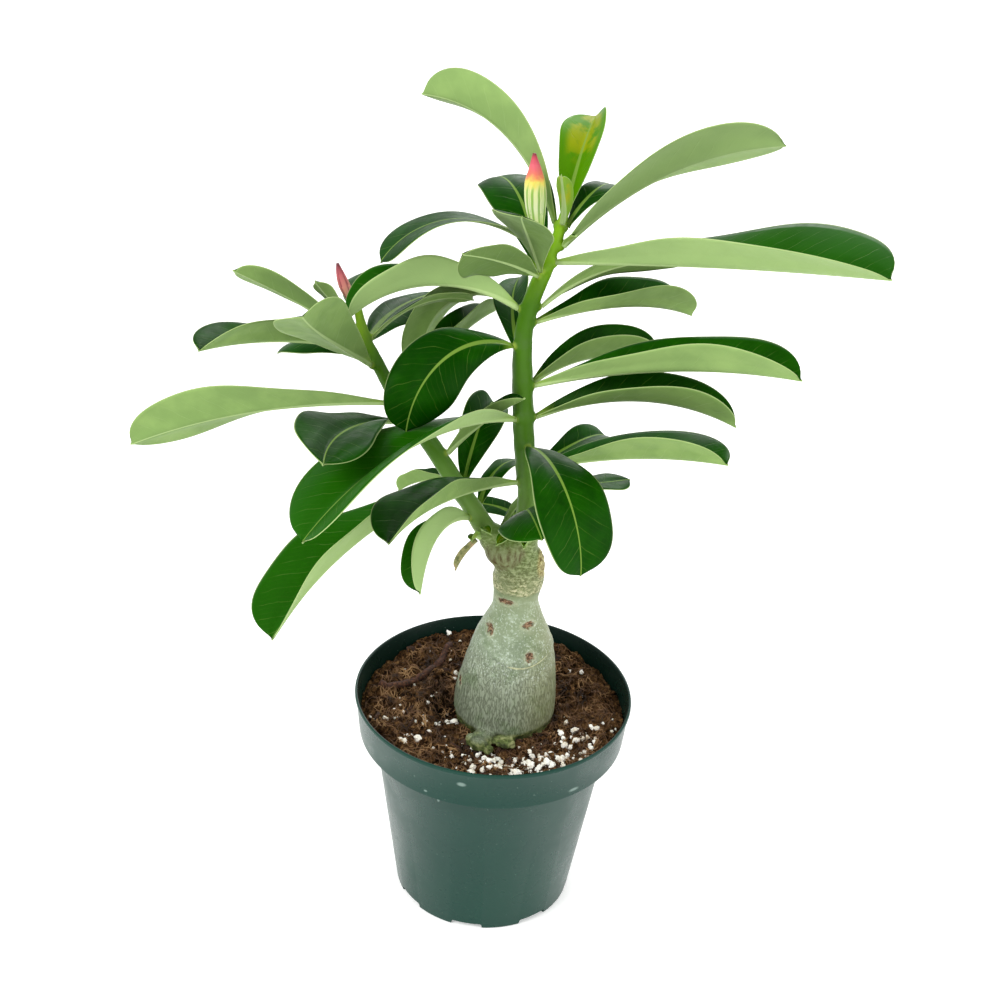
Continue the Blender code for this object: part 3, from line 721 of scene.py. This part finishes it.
# Adenium skin: waxy grey-green below with fine upright stretch cracks, a corky cream ring at the
# neck, brown leaf scars, and fresh yellow-green bark on the young ends of the stems.
skin, tree, shader = new_material("adenium_skin", Roughness=0.5, IOR=1.45)
shader.inputs["Specular IOR Level"].default_value = 0.2
place = object_place(tree)
split = add(tree, "ShaderNodeSeparateXYZ", {"Vector": place}).outputs
across = product(tree, split["X"], 1 / MM)
height = product(tree, split["Z"], 1 / MM)
front = fade(tree, split["Y"], -0.008, -0.002, 1, 0)
wander = product(tree, calc(tree, "SUBTRACT", noise_at(tree, place, 14, 3.0), 0.5), 18)
level = calc(tree, "ADD", height, wander)
tone = ramp(tree, calc(tree, "DIVIDE", level, 310),
            (0.27, "#737b69"), (0.31, "#79816d"), (0.36, "#848c77"), (0.40, "#8e9b83"), (0.455, "#8c9978"),
            (0.50, "#757f54"), (0.55, "#6a8640"), (0.62, "#648a3a"), (0.68, "#47701c"), (0.86, "#3f6c06"),
            (0.97, "#7fae1a"))
low_part = fade(tree, height, 132, 160, 1, 0)
mottle = noise_at(tree, place, 3.6, 4.0, 0.6)
pale = product(tree, fade(tree, mottle, 0.48, 0.66, 0, 0.42), fade(tree, height, 105, 118))
tone = mix(tree, product(tree, pale, low_part), tone, "#c3d0bb")
blotch = fade(tree, noise_at(tree, place, 8, 4.0), 0.50, 0.70, 0, 0.40)
tone = mix(tree, blotch, tone, "#4c6b33")
# Painted shade: the right side of the lower caudex, away from the key light, is toned olive-brown.
tone = mix(tree, product(tree, fade(tree, across, 6, 22, 0, 0.5), low_part), tone, "#868755")
crack = noise_at(tree, place, 0.9, 2.0, 0.5, stretch=(1, 1, 0.2))
crack = calc(tree, "ABSOLUTE", calc(tree, "SUBTRACT", crack, 0.5))
crack_low = product(tree, fade(tree, height, 112, 130, 1, 0.25), low_part)
tone = mix(tree, product(tree, fade(tree, crack, 0.0, 0.05, 0.5, 0), crack_low), tone, "#4f563f")
tone = mix(tree, product(tree, fade(tree, crack, 0.06, 0.13, 0, 0.22), crack_low), tone, "#b4bea8")
glint = product(tree, fade(tree, noise_at(tree, place, 0.9, 3.0, 0.7), 0.54, 0.66, 0, 0.5),
                  product(tree, fade(tree, height, 104, 118), fade(tree, height, 138, 148, 1, 0)))
tone = mix(tree, glint, tone, "#dbe5dc")
shadow = fade(tree, spot(tree, place, (10.0, -16.0, 125.0), (11, 14, 6.5)), 0.5, 1.25, 0.38, 0)
tone = mix(tree, product(tree, shadow, fade(tree, mottle, 0.35, 0.6, 1, 0.3)), tone, "#5d6d55")
flaky = noise_at(tree, place, 1.5, 5.0, 0.7, stretch=(1, 1, 1.8))
ring = product(tree, fade(tree, height, 147.4, 149.0), fade(tree, level, 151, 157, 1, 0))
cork = ramp(tree, flaky, (0.40, "#63693e"), (0.50, "#a7aa7c"), (0.60, "#e6dfb8"))
tone = mix(tree, product(tree, ring, fade(tree, mottle, 0.38, 0.6, 0.3, 0.9)), tone, cork)
neck = product(tree, fade(tree, height, 151, 158, 0, 0.6), fade(tree, height, 166, 180, 1, 0))
tone = mix(tree, neck, tone, ramp(tree, flaky, (0.41, "#4b4a2c"), (0.49, "#737b52"), (0.60, "#a9b085")))
collar = fade(tree, spot(tree, place, (1.2, -5.0, 165.5), (8.6, 7, 8.2)), 0.85, 1.1, 1, 0)
bark = ramp(tree, noise_at(tree, place, 1.6, 4.0, 0.6, stretch=(1, 1, 0.3)),
            (0.40, "#4c3b22"), (0.50, "#6d6f4b"), (0.62, "#7f8660"))
tone = mix(tree, product(tree, collar, fade(tree, height, 166, 173, 0.9, 0.05)), tone, bark)
strip = fade(tree, spot(tree, place, (17.0, -4.0, 161.0), (3.4, 9, 7.5)), 0.7, 1.15, 0.65, 0)
tone = mix(tree, strip, tone, ramp(tree, flaky, (0.40, "#6a4a24"), (0.52, "#a8975a"), (0.62, "#d6c98c")))
ragged = noise_at(tree, place, 1.4, 4.0, 0.7)
rim_mask = scar_mask = None
for centre, sizes in SCARS:
    far = calc(tree, "ADD", spot(tree, place, centre, sizes), product(tree, ragged, 2.0))
    mask = fade(tree, far, 1.55, 1.95, 1, 0)
    halo = fade(tree, far, 1.9, 2.5, 1, 0)
    scar_mask = mask if scar_mask is None else calc(tree, "MAXIMUM", scar_mask, mask)
    rim_mask = halo if rim_mask is None else calc(tree, "MAXIMUM", rim_mask, halo)
tone = mix(tree, product(tree, rim_mask, 0.4), tone, "#c3c6a8")
tone = mix(tree, product(tree, scar_mask, 0.92), tone,
           ramp(tree, flaky, (0.42, "#3a2012"), (0.50, "#6e442c"), (0.60, "#b08e70")))
bow = calc(tree, "POWER", calc(tree, "SUBTRACT", across, 10.5), 2)
bow = calc(tree, "ADD", product(tree, bow, 0.02), 119.2)
arc = fade(tree, calc(tree, "ABSOLUTE", calc(tree, "SUBTRACT", height, bow)), 0.15, 0.6, 0.75, 0)
arc = product(tree, product(tree, arc, front),
                product(tree, fade(tree, across, 4, 7), fade(tree, across, 19, 22, 1, 0)))
tone = mix(tree, arc, tone, "#d5d5a6")
foot = fade(tree, calc(tree, "ADD", height, product(tree, wander, 0.25)), 88.5, 91, 1, 0)
tone = mix(tree, product(tree, foot, 0.9), tone,
           ramp(tree, mottle, (0.40, "#333a16"), (0.52, "#5c6933"), (0.64, "#979b68")))
tip_green = product(tree, fade(tree, across, -58, -46, 0.6, 0), fade(tree, height, 240, 256))
tone = mix(tree, tip_green, tone, "#86aa2a")
seat_mark = add(tree, "ShaderNodeAttribute", attribute_name="leaf_seat").outputs["Fac"]
tone = mix(tree, fade(tree, seat_mark, 0.35, 0.9, 0, 0.7), tone, "#a3b548")
tree.links.new(tone, shader.inputs["Base Color"])
tree.links.new(fade(tree, mottle, 0.3, 0.7, 0.34, 0.55), shader.inputs["Roughness"])
fine = bump(tree, shader, noise_at(tree, place, 0.7, 4.0, 0.65), 0.10, 0.5)
grooves = bump(tree, shader, product(tree, fade(tree, crack, 0, 0.05, 1, 0), crack_low), -0.22, 0.8, fine)
corky = calc(tree, "MAXIMUM", ring, calc(tree, "MAXIMUM", strip, scar_mask))
bump(tree, shader, product(tree, flaky, corky), 0.8, 0.8, grooves)
finished("trunk_skin", trunk, skin, node=("caudex", "stem_main", "stem_left"), slot="caudex_skin")


# ---------------------------------------------------------------------------------------------------
# The leaves: thick waxy blades with a keel-like midrib, folded up along it and arched over, dark and
# glossy above, pale and matt below. Each is a sheet bent along its midrib, with a thin bright margin.
# YOUNG tells how bright and unripe a leaf still is.

# This table tells how much lighter, or darker if it is negative, a leaf is than the rest: partly each leaf's
# own tone, and partly painted light and shade, lighter for leaves lit through from behind and darker for
# leaves in shade.
LEAF_TONE_AND_LIGHT = {
    "leaf_main_24": 1.0, "leaf_main_04": 0.6, "leaf_main_27": 0.4, "leaf_left_11": 0.9, "leaf_left_12": 1.0,
    "leaf_main_06": 0.7,
    "leaf_main_17": 0.7, "leaf_main_01": 0.3, "leaf_main_10": 0.4, "leaf_main_18": -0.9, "leaf_main_11": -0.5,
    "leaf_main_20": -0.6, "leaf_left_01": -0.6, "leaf_left_03": -0.1, "leaf_left_14": -0.4,
}
YOUNG = {"leaf_main_02": 0.8, "leaf_main_03": 0.9}
BLADE_THICK = 0.7


def leaf_mesh(name, stem, height, heading, rise, droop, swing, length, width, roll, fold, curl, twist):
    """A leaf as a closed sheet, with its midrib, its UV map in cm and its tone attribute."""
    rows = 44 if length > 60 else 32
    columns = 18
    own = np.random.default_rng(sum(map(ord, name)) * 7 + length)
    bpy.ops.object.select_all(action="DESELECT")
    bpy.ops.mesh.primitive_grid_add(x_subdivisions=columns, y_subdivisions=rows, size=2)
    grid = bpy.context.object
    flat = np.array([v.co for v in grid.data.vertices])
    faces = np.array([p.vertices for p in grid.data.polygons])
    bpy.data.objects.remove(grid, do_unlink=True)
    across = flat[:, 0]
    along = 1 - (1 - (flat[:, 1] + 1) / 2) ** 1.35
    base = leaf_foot(stem, height, heading, rise)

    def direction(s):
        """Where the midrib points at a share s of its length, and its heading there."""
        up = np.radians(rise - droop * s ** 1.25)
        way = np.radians(heading + swing * s)
        return np.stack([np.cos(up) * np.cos(way), np.cos(up) * np.sin(way), np.sin(up)], -1), way

    fine = np.linspace(0, 1, 81)
    steps, _ = direction((fine[1:] + fine[:-1]) / 2)
    walk = base + np.concatenate([np.zeros((1, 3)), np.cumsum(steps, 0) * length / 80])
    midrib = np.stack([np.interp(along, fine, walk[:, axis]) for axis in range(3)], -1)
    ahead, way = direction(along)
    level = np.stack([-np.sin(way), np.cos(way), 0 * way], -1)
    upward = np.cross(ahead, level)
    tilt = np.radians(roll + twist * along)[:, None]
    side = level * np.cos(tilt) + upward * np.sin(tilt)
    face = upward * np.cos(tilt) - level * np.sin(tilt)
    peak = 1.15 / 1.65
    full = peak ** 1.15 * (1 - peak) ** 0.5
    half = width / 2 * along ** 1.15 * (1 - along) ** 0.5 / full + 0.95 * (1 - along) ** 0.5
    half *= 1 + 0.035 * np.sin(along * own.uniform(9, 14) + own.uniform(0, 6)) * np.sign(across)
    half += 0.05
    out = np.abs(across)
    lift = math.radians(fold) * np.clip(out * 3, 0, 1) ** 0.5
    quarter = (np.arange(6) + 0.5) / 6
    bend = lift[:, None] + math.radians(curl) * out[:, None] * quarter
    sideways = half * np.sign(across) * out * np.cos(bend).mean(1)
    upwards = half * out * np.sin(bend).mean(1)
    wave = own.uniform(0.25, 0.6) * np.sin(along * own.uniform(10, 17) + own.uniform(0, 6) + 2 * across)
    upwards += wave * out ** 2 * np.clip(half / 8, 0, 1)
    tip = np.clip((along - 0.94) / 0.06, 0, 1) ** 2 * (1 - out)
    centre = midrib + ahead * (tip * 1.1)[:, None]
    sheet = centre + side * sideways[:, None] + face * upwards[:, None]
    rib = np.exp(-(out * half / 0.75) ** 2) * (1 - along) ** 0.6
    vein = np.abs(((along * length - 0.85 * out * half) / 7.4) % 1 - 0.5) * 2
    quilt = 0.06 * np.clip(1 - vein * 3.2, 0, 1) * np.clip(out * 4, 0, 1) * (1 - out)
    normal = np.cross(ahead, side) * np.cos(bend.mean(1))[:, None]
    normal -= side * (np.sin(bend.mean(1)) * np.sign(across))[:, None]
    normal *= np.sign((normal * face).sum(1))[:, None]
    normal /= np.linalg.norm(normal, axis=1, keepdims=True)
    thick = BLADE_THICK * (0.35 + 0.65 * (1 - out ** 2.5))
    top = sheet + normal * (thick / 2 - 0.22 * rib - quilt)[:, None]
    under = sheet - normal * (thick / 2 + 0.85 * rib + 0.5 * quilt)[:, None]
    count = len(flat)
    edge_count = {}
    for quad in faces:
        for a, b in zip(quad, np.roll(quad, -1)):
            edge_count[(a, b)] = edge_count.get((a, b), 0) + 1
    rim = [(a, b) for a, b in edge_count if (b, a) not in edge_count]
    walls = [(b, a, a + count, b + count) for a, b in rim]
    quads = faces.tolist() + (faces[:, ::-1] + count).tolist() + walls
    mesh = bpy.data.meshes.new(name)
    mesh.from_pydata((np.concatenate([top, under]) * MM).tolist(), [], quads)
    mesh.polygons.foreach_set("material_index", [0] * len(faces) + [1] * (len(faces) + len(rim)))
    uv = mesh.uv_layers.new(name="blade_cm")
    place = np.stack([np.tile(across * half, 2) / 10, np.tile(along, 2) * length / 10], -1)
    corners = np.zeros(len(mesh.loops), int)
    mesh.loops.foreach_get("vertex_index", corners)
    uv.data.foreach_set("uv", place[corners].ravel())
    tone = mesh.attributes.new("tone", "FLOAT_COLOR", "POINT")
    # Each leaf's tone, with its painted light or shade from the table.
    shade = 0.5 + 0.5 * LEAF_TONE_AND_LIGHT.get(name, own.uniform(-0.25, 0.25))
    colour = np.stack([np.full(2 * count, YOUNG.get(name, 0.0)), np.full(2 * count, shade),
                       np.tile(1 - out, 2), np.tile(along, 2)], -1)
    tone.data.foreach_set("color", colour.ravel())
    work = bmesh.new()
    work.from_mesh(mesh)
    bmesh.ops.recalc_face_normals(work, faces=work.faces)
    work.to_mesh(mesh)
    work.free()
    return mesh


def leaf_finish(name, dull, dark, light, pale, rib_colour, young, rough, gloss, vein_show, vein_depth):
    """One side of a leaf: its greens from dull to pale, its midrib's and young colours, and its veins."""
    made, tree, shader = new_material(name, IOR=1.45)
    shader.inputs["Specular IOR Level"].default_value = gloss
    shader.inputs["Specular Tint"].default_value = linear("#cfe6b4")
    place = object_place(tree)
    blade = add(tree, "ShaderNodeUVMap", uv_map="blade_cm").outputs[0]
    split = add(tree, "ShaderNodeSeparateXYZ", {"Vector": blade}).outputs
    tone = add(tree, "ShaderNodeAttribute", attribute_name="tone")
    parts = add(tree, "ShaderNodeSeparateColor", {"Color": tone.outputs["Color"]}).outputs
    fresh, shade, inner, along = parts[0], parts[1], parts[2], tone.outputs["Alpha"]
    aside = calc(tree, "ABSOLUTE", split["X"])
    wobble = product(tree, noise_at(tree, place, 9, 2.0), 0.34)
    slope = calc(tree, "SUBTRACT", split["Y"], product(tree, aside, 0.85))
    phase = calc(tree, "DIVIDE", calc(tree, "ADD", slope, wobble), 0.74)
    vein = fade(tree, calc(tree, "PINGPONG", phase, 0.5), 0.0, 0.04, 1, 0)
    branch = calc(tree, "PINGPONG", product(tree, phase, 3.0), 0.5)
    vein = calc(tree, "MAXIMUM", vein, fade(tree, branch, 0.0, 0.13, 0.16, 0))
    vein = product(tree, vein, fade(tree, inner, 0.04, 0.35))
    vein = product(tree, vein, fade(tree, noise_at(tree, place, 7, 2.0), 0.35, 0.62, 0.25, 1))
    rib_half = calc(tree, "ADD", product(tree, fade(tree, along, 0, 0.9, 1, 0), 0.075), 0.028)
    rib = fade(tree, calc(tree, "DIVIDE", aside, rib_half), 0.7, 1.15, 1, 0)
    patch = noise_at(tree, place, 17, 3.0)
    green = mix(tree, fade(tree, patch, 0.36, 0.64), dark, light)
    # Lighter towards pale and darker towards dull: partly the leaf's own tone, partly painted light and
    # shade.
    green = mix(tree, fade(tree, shade, 0.5, 1.0, 0, 0.75), green, pale)
    green = mix(tree, fade(tree, shade, 0.0, 0.5, 0.75, 0), green, dull)
    green = mix(tree, product(tree, vein, vein_show), green, rib_colour)
    green = mix(tree, fresh, green, young)
    middle = product(tree, fade(tree, along, 0.35, 0.6), fade(tree, inner, 0.15, 0.5))
    ripe = product(tree, middle, fade(tree, noise_at(tree, place, 8, 3.0), 0.42, 0.55))
    green = mix(tree, product(tree, ripe, product(tree, fresh, 0.6)), green, "#b3a90c")
    green = mix(tree, fade(tree, along, 0.0, 0.12, 0.7, 0), green, "#86a836")
    green = mix(tree, product(tree, rib, 0.8), green, rib_colour)
    green = mix(tree, fade(tree, inner, 0.0, 0.035, 0.6, 0), green, "#b2c586")
    tree.links.new(green, shader.inputs["Base Color"])
    grainy = noise_at(tree, place, 3.5, 4.0, 0.6)
    tree.links.new(fade(tree, grainy, 0.3, 0.7, rough - 0.05, rough + 0.07), shader.inputs["Roughness"])
    fine = bump(tree, shader, noise_at(tree, place, 0.9, 3.0), 0.04, 0.5)
    bump(tree, shader, vein, vein_depth, 0.8, fine)
    return made


leaf_top = leaf_finish("waxy_leaf_upper", "#0d2c02", "#083700", "#124800", "#1e5a04",
                        "#7b9b40", "#569000", 0.36, 0.08, 0.20, -0.10)
leaf_under = leaf_finish("matt_leaf_under", "#56703a", "#749150", "#84a15b", "#a2be7c",
                          "#b0c888", "#82aa34", 0.54, 0.12, 0.12, 0.08)
for leaf_name, numbers in LEAVES.items():
    mesh = leaf_mesh(leaf_name, *numbers)
    finished(leaf_name + "_blade", mesh, leaf_top, leaf_under, node=leaf_name, slot="leaf_blade")

# Small shoots in the fork and under the lowest leaf at the top, and a dead bract that hangs from the fork.
SHOOTS = {
    "fork_shoot_a": ("left", 172, -120, 38, 40, 20, 9, 3.6, 30, 40, 0, 10),
    "fork_shoot_b": ("main", 172, -135, 35, 55, 15, 11, 4.5, -20, 40, 0, 0),
    "fork_shoot_c": ("main", 173, -85, 30, 40, -20, 10, 4, 25, 45, 0, -10),
    "fork_shoot_d": ("left", 176, -80, 30, 40, 30, 7, 3, 10, 30, 0, 0),
    "crown_shoot": ("main", 291, -25, 62, 30, 0, 6, 3, 0, 30, 0, 0),
}
YOUNG.update(dict.fromkeys(SHOOTS, 0.3))
for shoot_name, numbers in SHOOTS.items():
    finished(shoot_name, leaf_mesh(shoot_name, *numbers), leaf_top, leaf_under, slot="leaf_blade")
dry_bract, tree, shader = new_material("dry_bract", Roughness=0.8)
place = object_place(tree)
husk = ramp(tree, noise_at(tree, place, 2.2, 4.0), (0.38, "#5d6136"), (0.52, "#8b8b5a"), (0.64, "#a9906c"))
tree.links.new(husk, shader.inputs["Base Color"])
bract = leaf_mesh("dead_bract", "left", 170, -150, -38, 30, 10, 14, 3.4, 30, 55, -20, 50)
finished("dead_bract", bract, dry_bract, slot="stem_skin")


# ---------------------------------------------------------------------------------------------------
# The buds: closed flowers, five petals wound tightly into a spindle, red at the tip, yellow below and
# green-white at the ribbed calyx, each on a short stalk.

MAIN_BUD = (
    (8.4, -3.4, 291.5, 1.3), (6.2, -3.4, 296, 1.7), (5.0, -3.3, 299, 2.6), (4.3, -3.2, 303, 3.4),
    (3.8, -3.1, 308, 3.9), (3.3, -3, 313, 3.6), (2.9, -3, 318, 2.3), (2.5, -3, 321.5, 1.2),
    (2.3, -3, 323.6, 0.6),
)
LEFT_BUD = (
    (-58.6, -2, 261.8, 1.3), (-61, -2, 265.5, 1.4), (-62.4, -2, 269, 2.0), (-63.6, -2, 272, 1.9),
    (-64.8, -2, 275.5, 1.3), (-65.6, -2, 278.6, 0.5),
)


def bud_mesh(name, path, winding, depth):
    """A spindle whose five petals wind round it, with its tone attribute from foot to tip."""
    run = eased(path, 60)
    points, faces = strand(run[:, :3], run[:, 3], 40)
    share = np.concatenate([np.repeat(np.linspace(0, 1, 60), 40), [0, 1]])
    centres = np.concatenate([np.repeat(run[:, :3], 40, axis=0), run[:1, :3], run[-1:, :3]])
    turn = np.concatenate([np.tile(np.linspace(0, 2 * math.pi, 40, endpoint=False), 60), [0, 0]])
    petal = ((turn * 5 / (2 * math.pi) + share * winding) % 1)
    step = depth * (petal - 0.5) * np.clip(np.sin(math.pi * share), 0, 1)
    points = centres + (points - centres) * (1 + step)[:, None]
    mesh = mesh_of(name, [(points, faces)])
    tone = mesh.attributes.new("tone", "FLOAT_COLOR", "POINT")
    tone.data.foreach_set("color", np.stack([share, petal, share, 1 + 0 * share], -1).ravel())
    return mesh


# The calyx is pale with green stripes up to three fifths of the bud; the petals' tips are wound above it.
petals, tree, shader = new_material("bud_petals", Roughness=0.5)
tone = add(tree, "ShaderNodeAttribute", attribute_name="tone")
parts = add(tree, "ShaderNodeSeparateColor", {"Color": tone.outputs["Color"]}).outputs
place = object_place(tree)
drift = product(tree, calc(tree, "SUBTRACT", noise_at(tree, place, 2.2, 2.0), 0.5), 0.12)
rise = calc(tree, "ADD", parts[0], drift)
colour = ramp(tree, rise, (0.05, "#8fb63a"), (0.25, "#c3d67a"), (0.42, "#e6eebc"), (0.57, "#dde29a"),
              (0.64, "#e6d55e"), (0.675, "#e9ae52"), (0.72, "#df6f58"), (0.80, "#d65a68"),
              (0.93, "#b93648"), (0.99, "#7d1f2c"))
stripe = calc(tree, "PINGPONG", product(tree, parts[1], 2.0), 0.5)
stripe = product(tree, fade(tree, stripe, 0.22, 0.42), fade(tree, rise, 0.56, 0.66, 0.85, 0))
tree.links.new(mix(tree, stripe, colour, "#7aae30"), shader.inputs["Base Color"])
finished("bud_main_petals", bud_mesh("bud_main_petals", MAIN_BUD, 0.35, 0.13), petals,
         node="bud_main", slot="bud_petals")
red_petals, tree, shader = new_material("red_bud_petals", Roughness=0.5)
tone = add(tree, "ShaderNodeAttribute", attribute_name="tone")
parts = add(tree, "ShaderNodeSeparateColor", {"Color": tone.outputs["Color"]}).outputs
colour = ramp(tree, parts[0], (0.1, "#7f9540"), (0.3, "#cf9a80"), (0.5, "#db8a7e"), (0.75, "#c9646a"),
              (0.9, "#983c46"), (0.99, "#571d26"))
colour = mix(tree, fade(tree, parts[1], 0.1, 0.45, 0.8, 0), colour, "#9c4350")
tree.links.new(colour, shader.inputs["Base Color"])
finished("bud_left_petals", bud_mesh("bud_left_petals", LEFT_BUD, 0.5, 0.14), red_petals,
         node="bud_left", slot="bud_petals")


# ---------------------------------------------------------------------------------------------------
# The stage: a plain pale floor and backdrop, soft studio light from the upper left, and the camera at
# the height and angle of a person standing over a table.

bpy.ops.object.select_all(action="DESELECT")
bpy.ops.mesh.primitive_plane_add(size=8, location=(0, 0, 0))
floor = bpy.context.object
floor.name = "floor"
pale, tree, shader = new_material("pale_floor", Roughness=0.9)
shader.inputs["Base Color"].default_value = linear("#f4f4f3")
shader.inputs["Emission Color"].default_value = linear("#ffffff")
shader.inputs["Emission Strength"].default_value = 0.3
floor.data.materials.append(pale)

world = bpy.data.worlds.new("studio")
bpy.context.scene.world = world
world.use_nodes = True
world.node_tree.nodes["Background"].inputs["Color"].default_value = linear("#ffffff")
world.node_tree.nodes["Background"].inputs["Strength"].default_value = 0.85


def area_light(name, place_m, target_m, size_m, power):
    """A square soft light aimed at a point."""
    lamp = bpy.data.lights.new(name, "AREA")
    lamp.size = size_m
    lamp.energy = power
    made = bpy.data.objects.new(name, lamp)
    bpy.context.scene.collection.objects.link(made)
    made.location = place_m
    made.rotation_euler = (Vector(target_m) - Vector(place_m)).to_track_quat("-Z", "Y").to_euler()


middle_m = (0, 0, 0.2)
area_light("key", (-0.9, -0.8, 1.2), middle_m, 0.7, 16)
area_light("fill", (1.1, -0.7, 0.7), middle_m, 1.0, 6)
area_light("back", (0.3, 1.2, 0.9), middle_m, 0.9, 9)

pitch, yaw, roll = math.radians(28.64), math.radians(-0.22), math.radians(3.55)
forward = Vector((math.sin(yaw) * math.cos(pitch), math.cos(yaw) * math.cos(pitch), -math.sin(pitch)))
right = forward.cross(Vector((0, 0, 1))).normalized()
up = right.cross(forward)
turned = Matrix.Rotation(-roll, 3, forward)
right, up = turned @ right, turned @ up
camera_data = bpy.data.cameras.new("camera")
camera_data.lens = 59.4
camera_data.sensor_width = 36
camera = bpy.data.objects.new("camera", camera_data)
bpy.context.scene.collection.objects.link(camera)
axes = Matrix((right, up, -forward)).transposed().to_4x4()
camera.matrix_world = Matrix.Translation((0, -0.560, 0.491)) @ axes
bpy.context.scene.camera = camera
bpy.context.scene.view_settings.view_transform = "Standard"
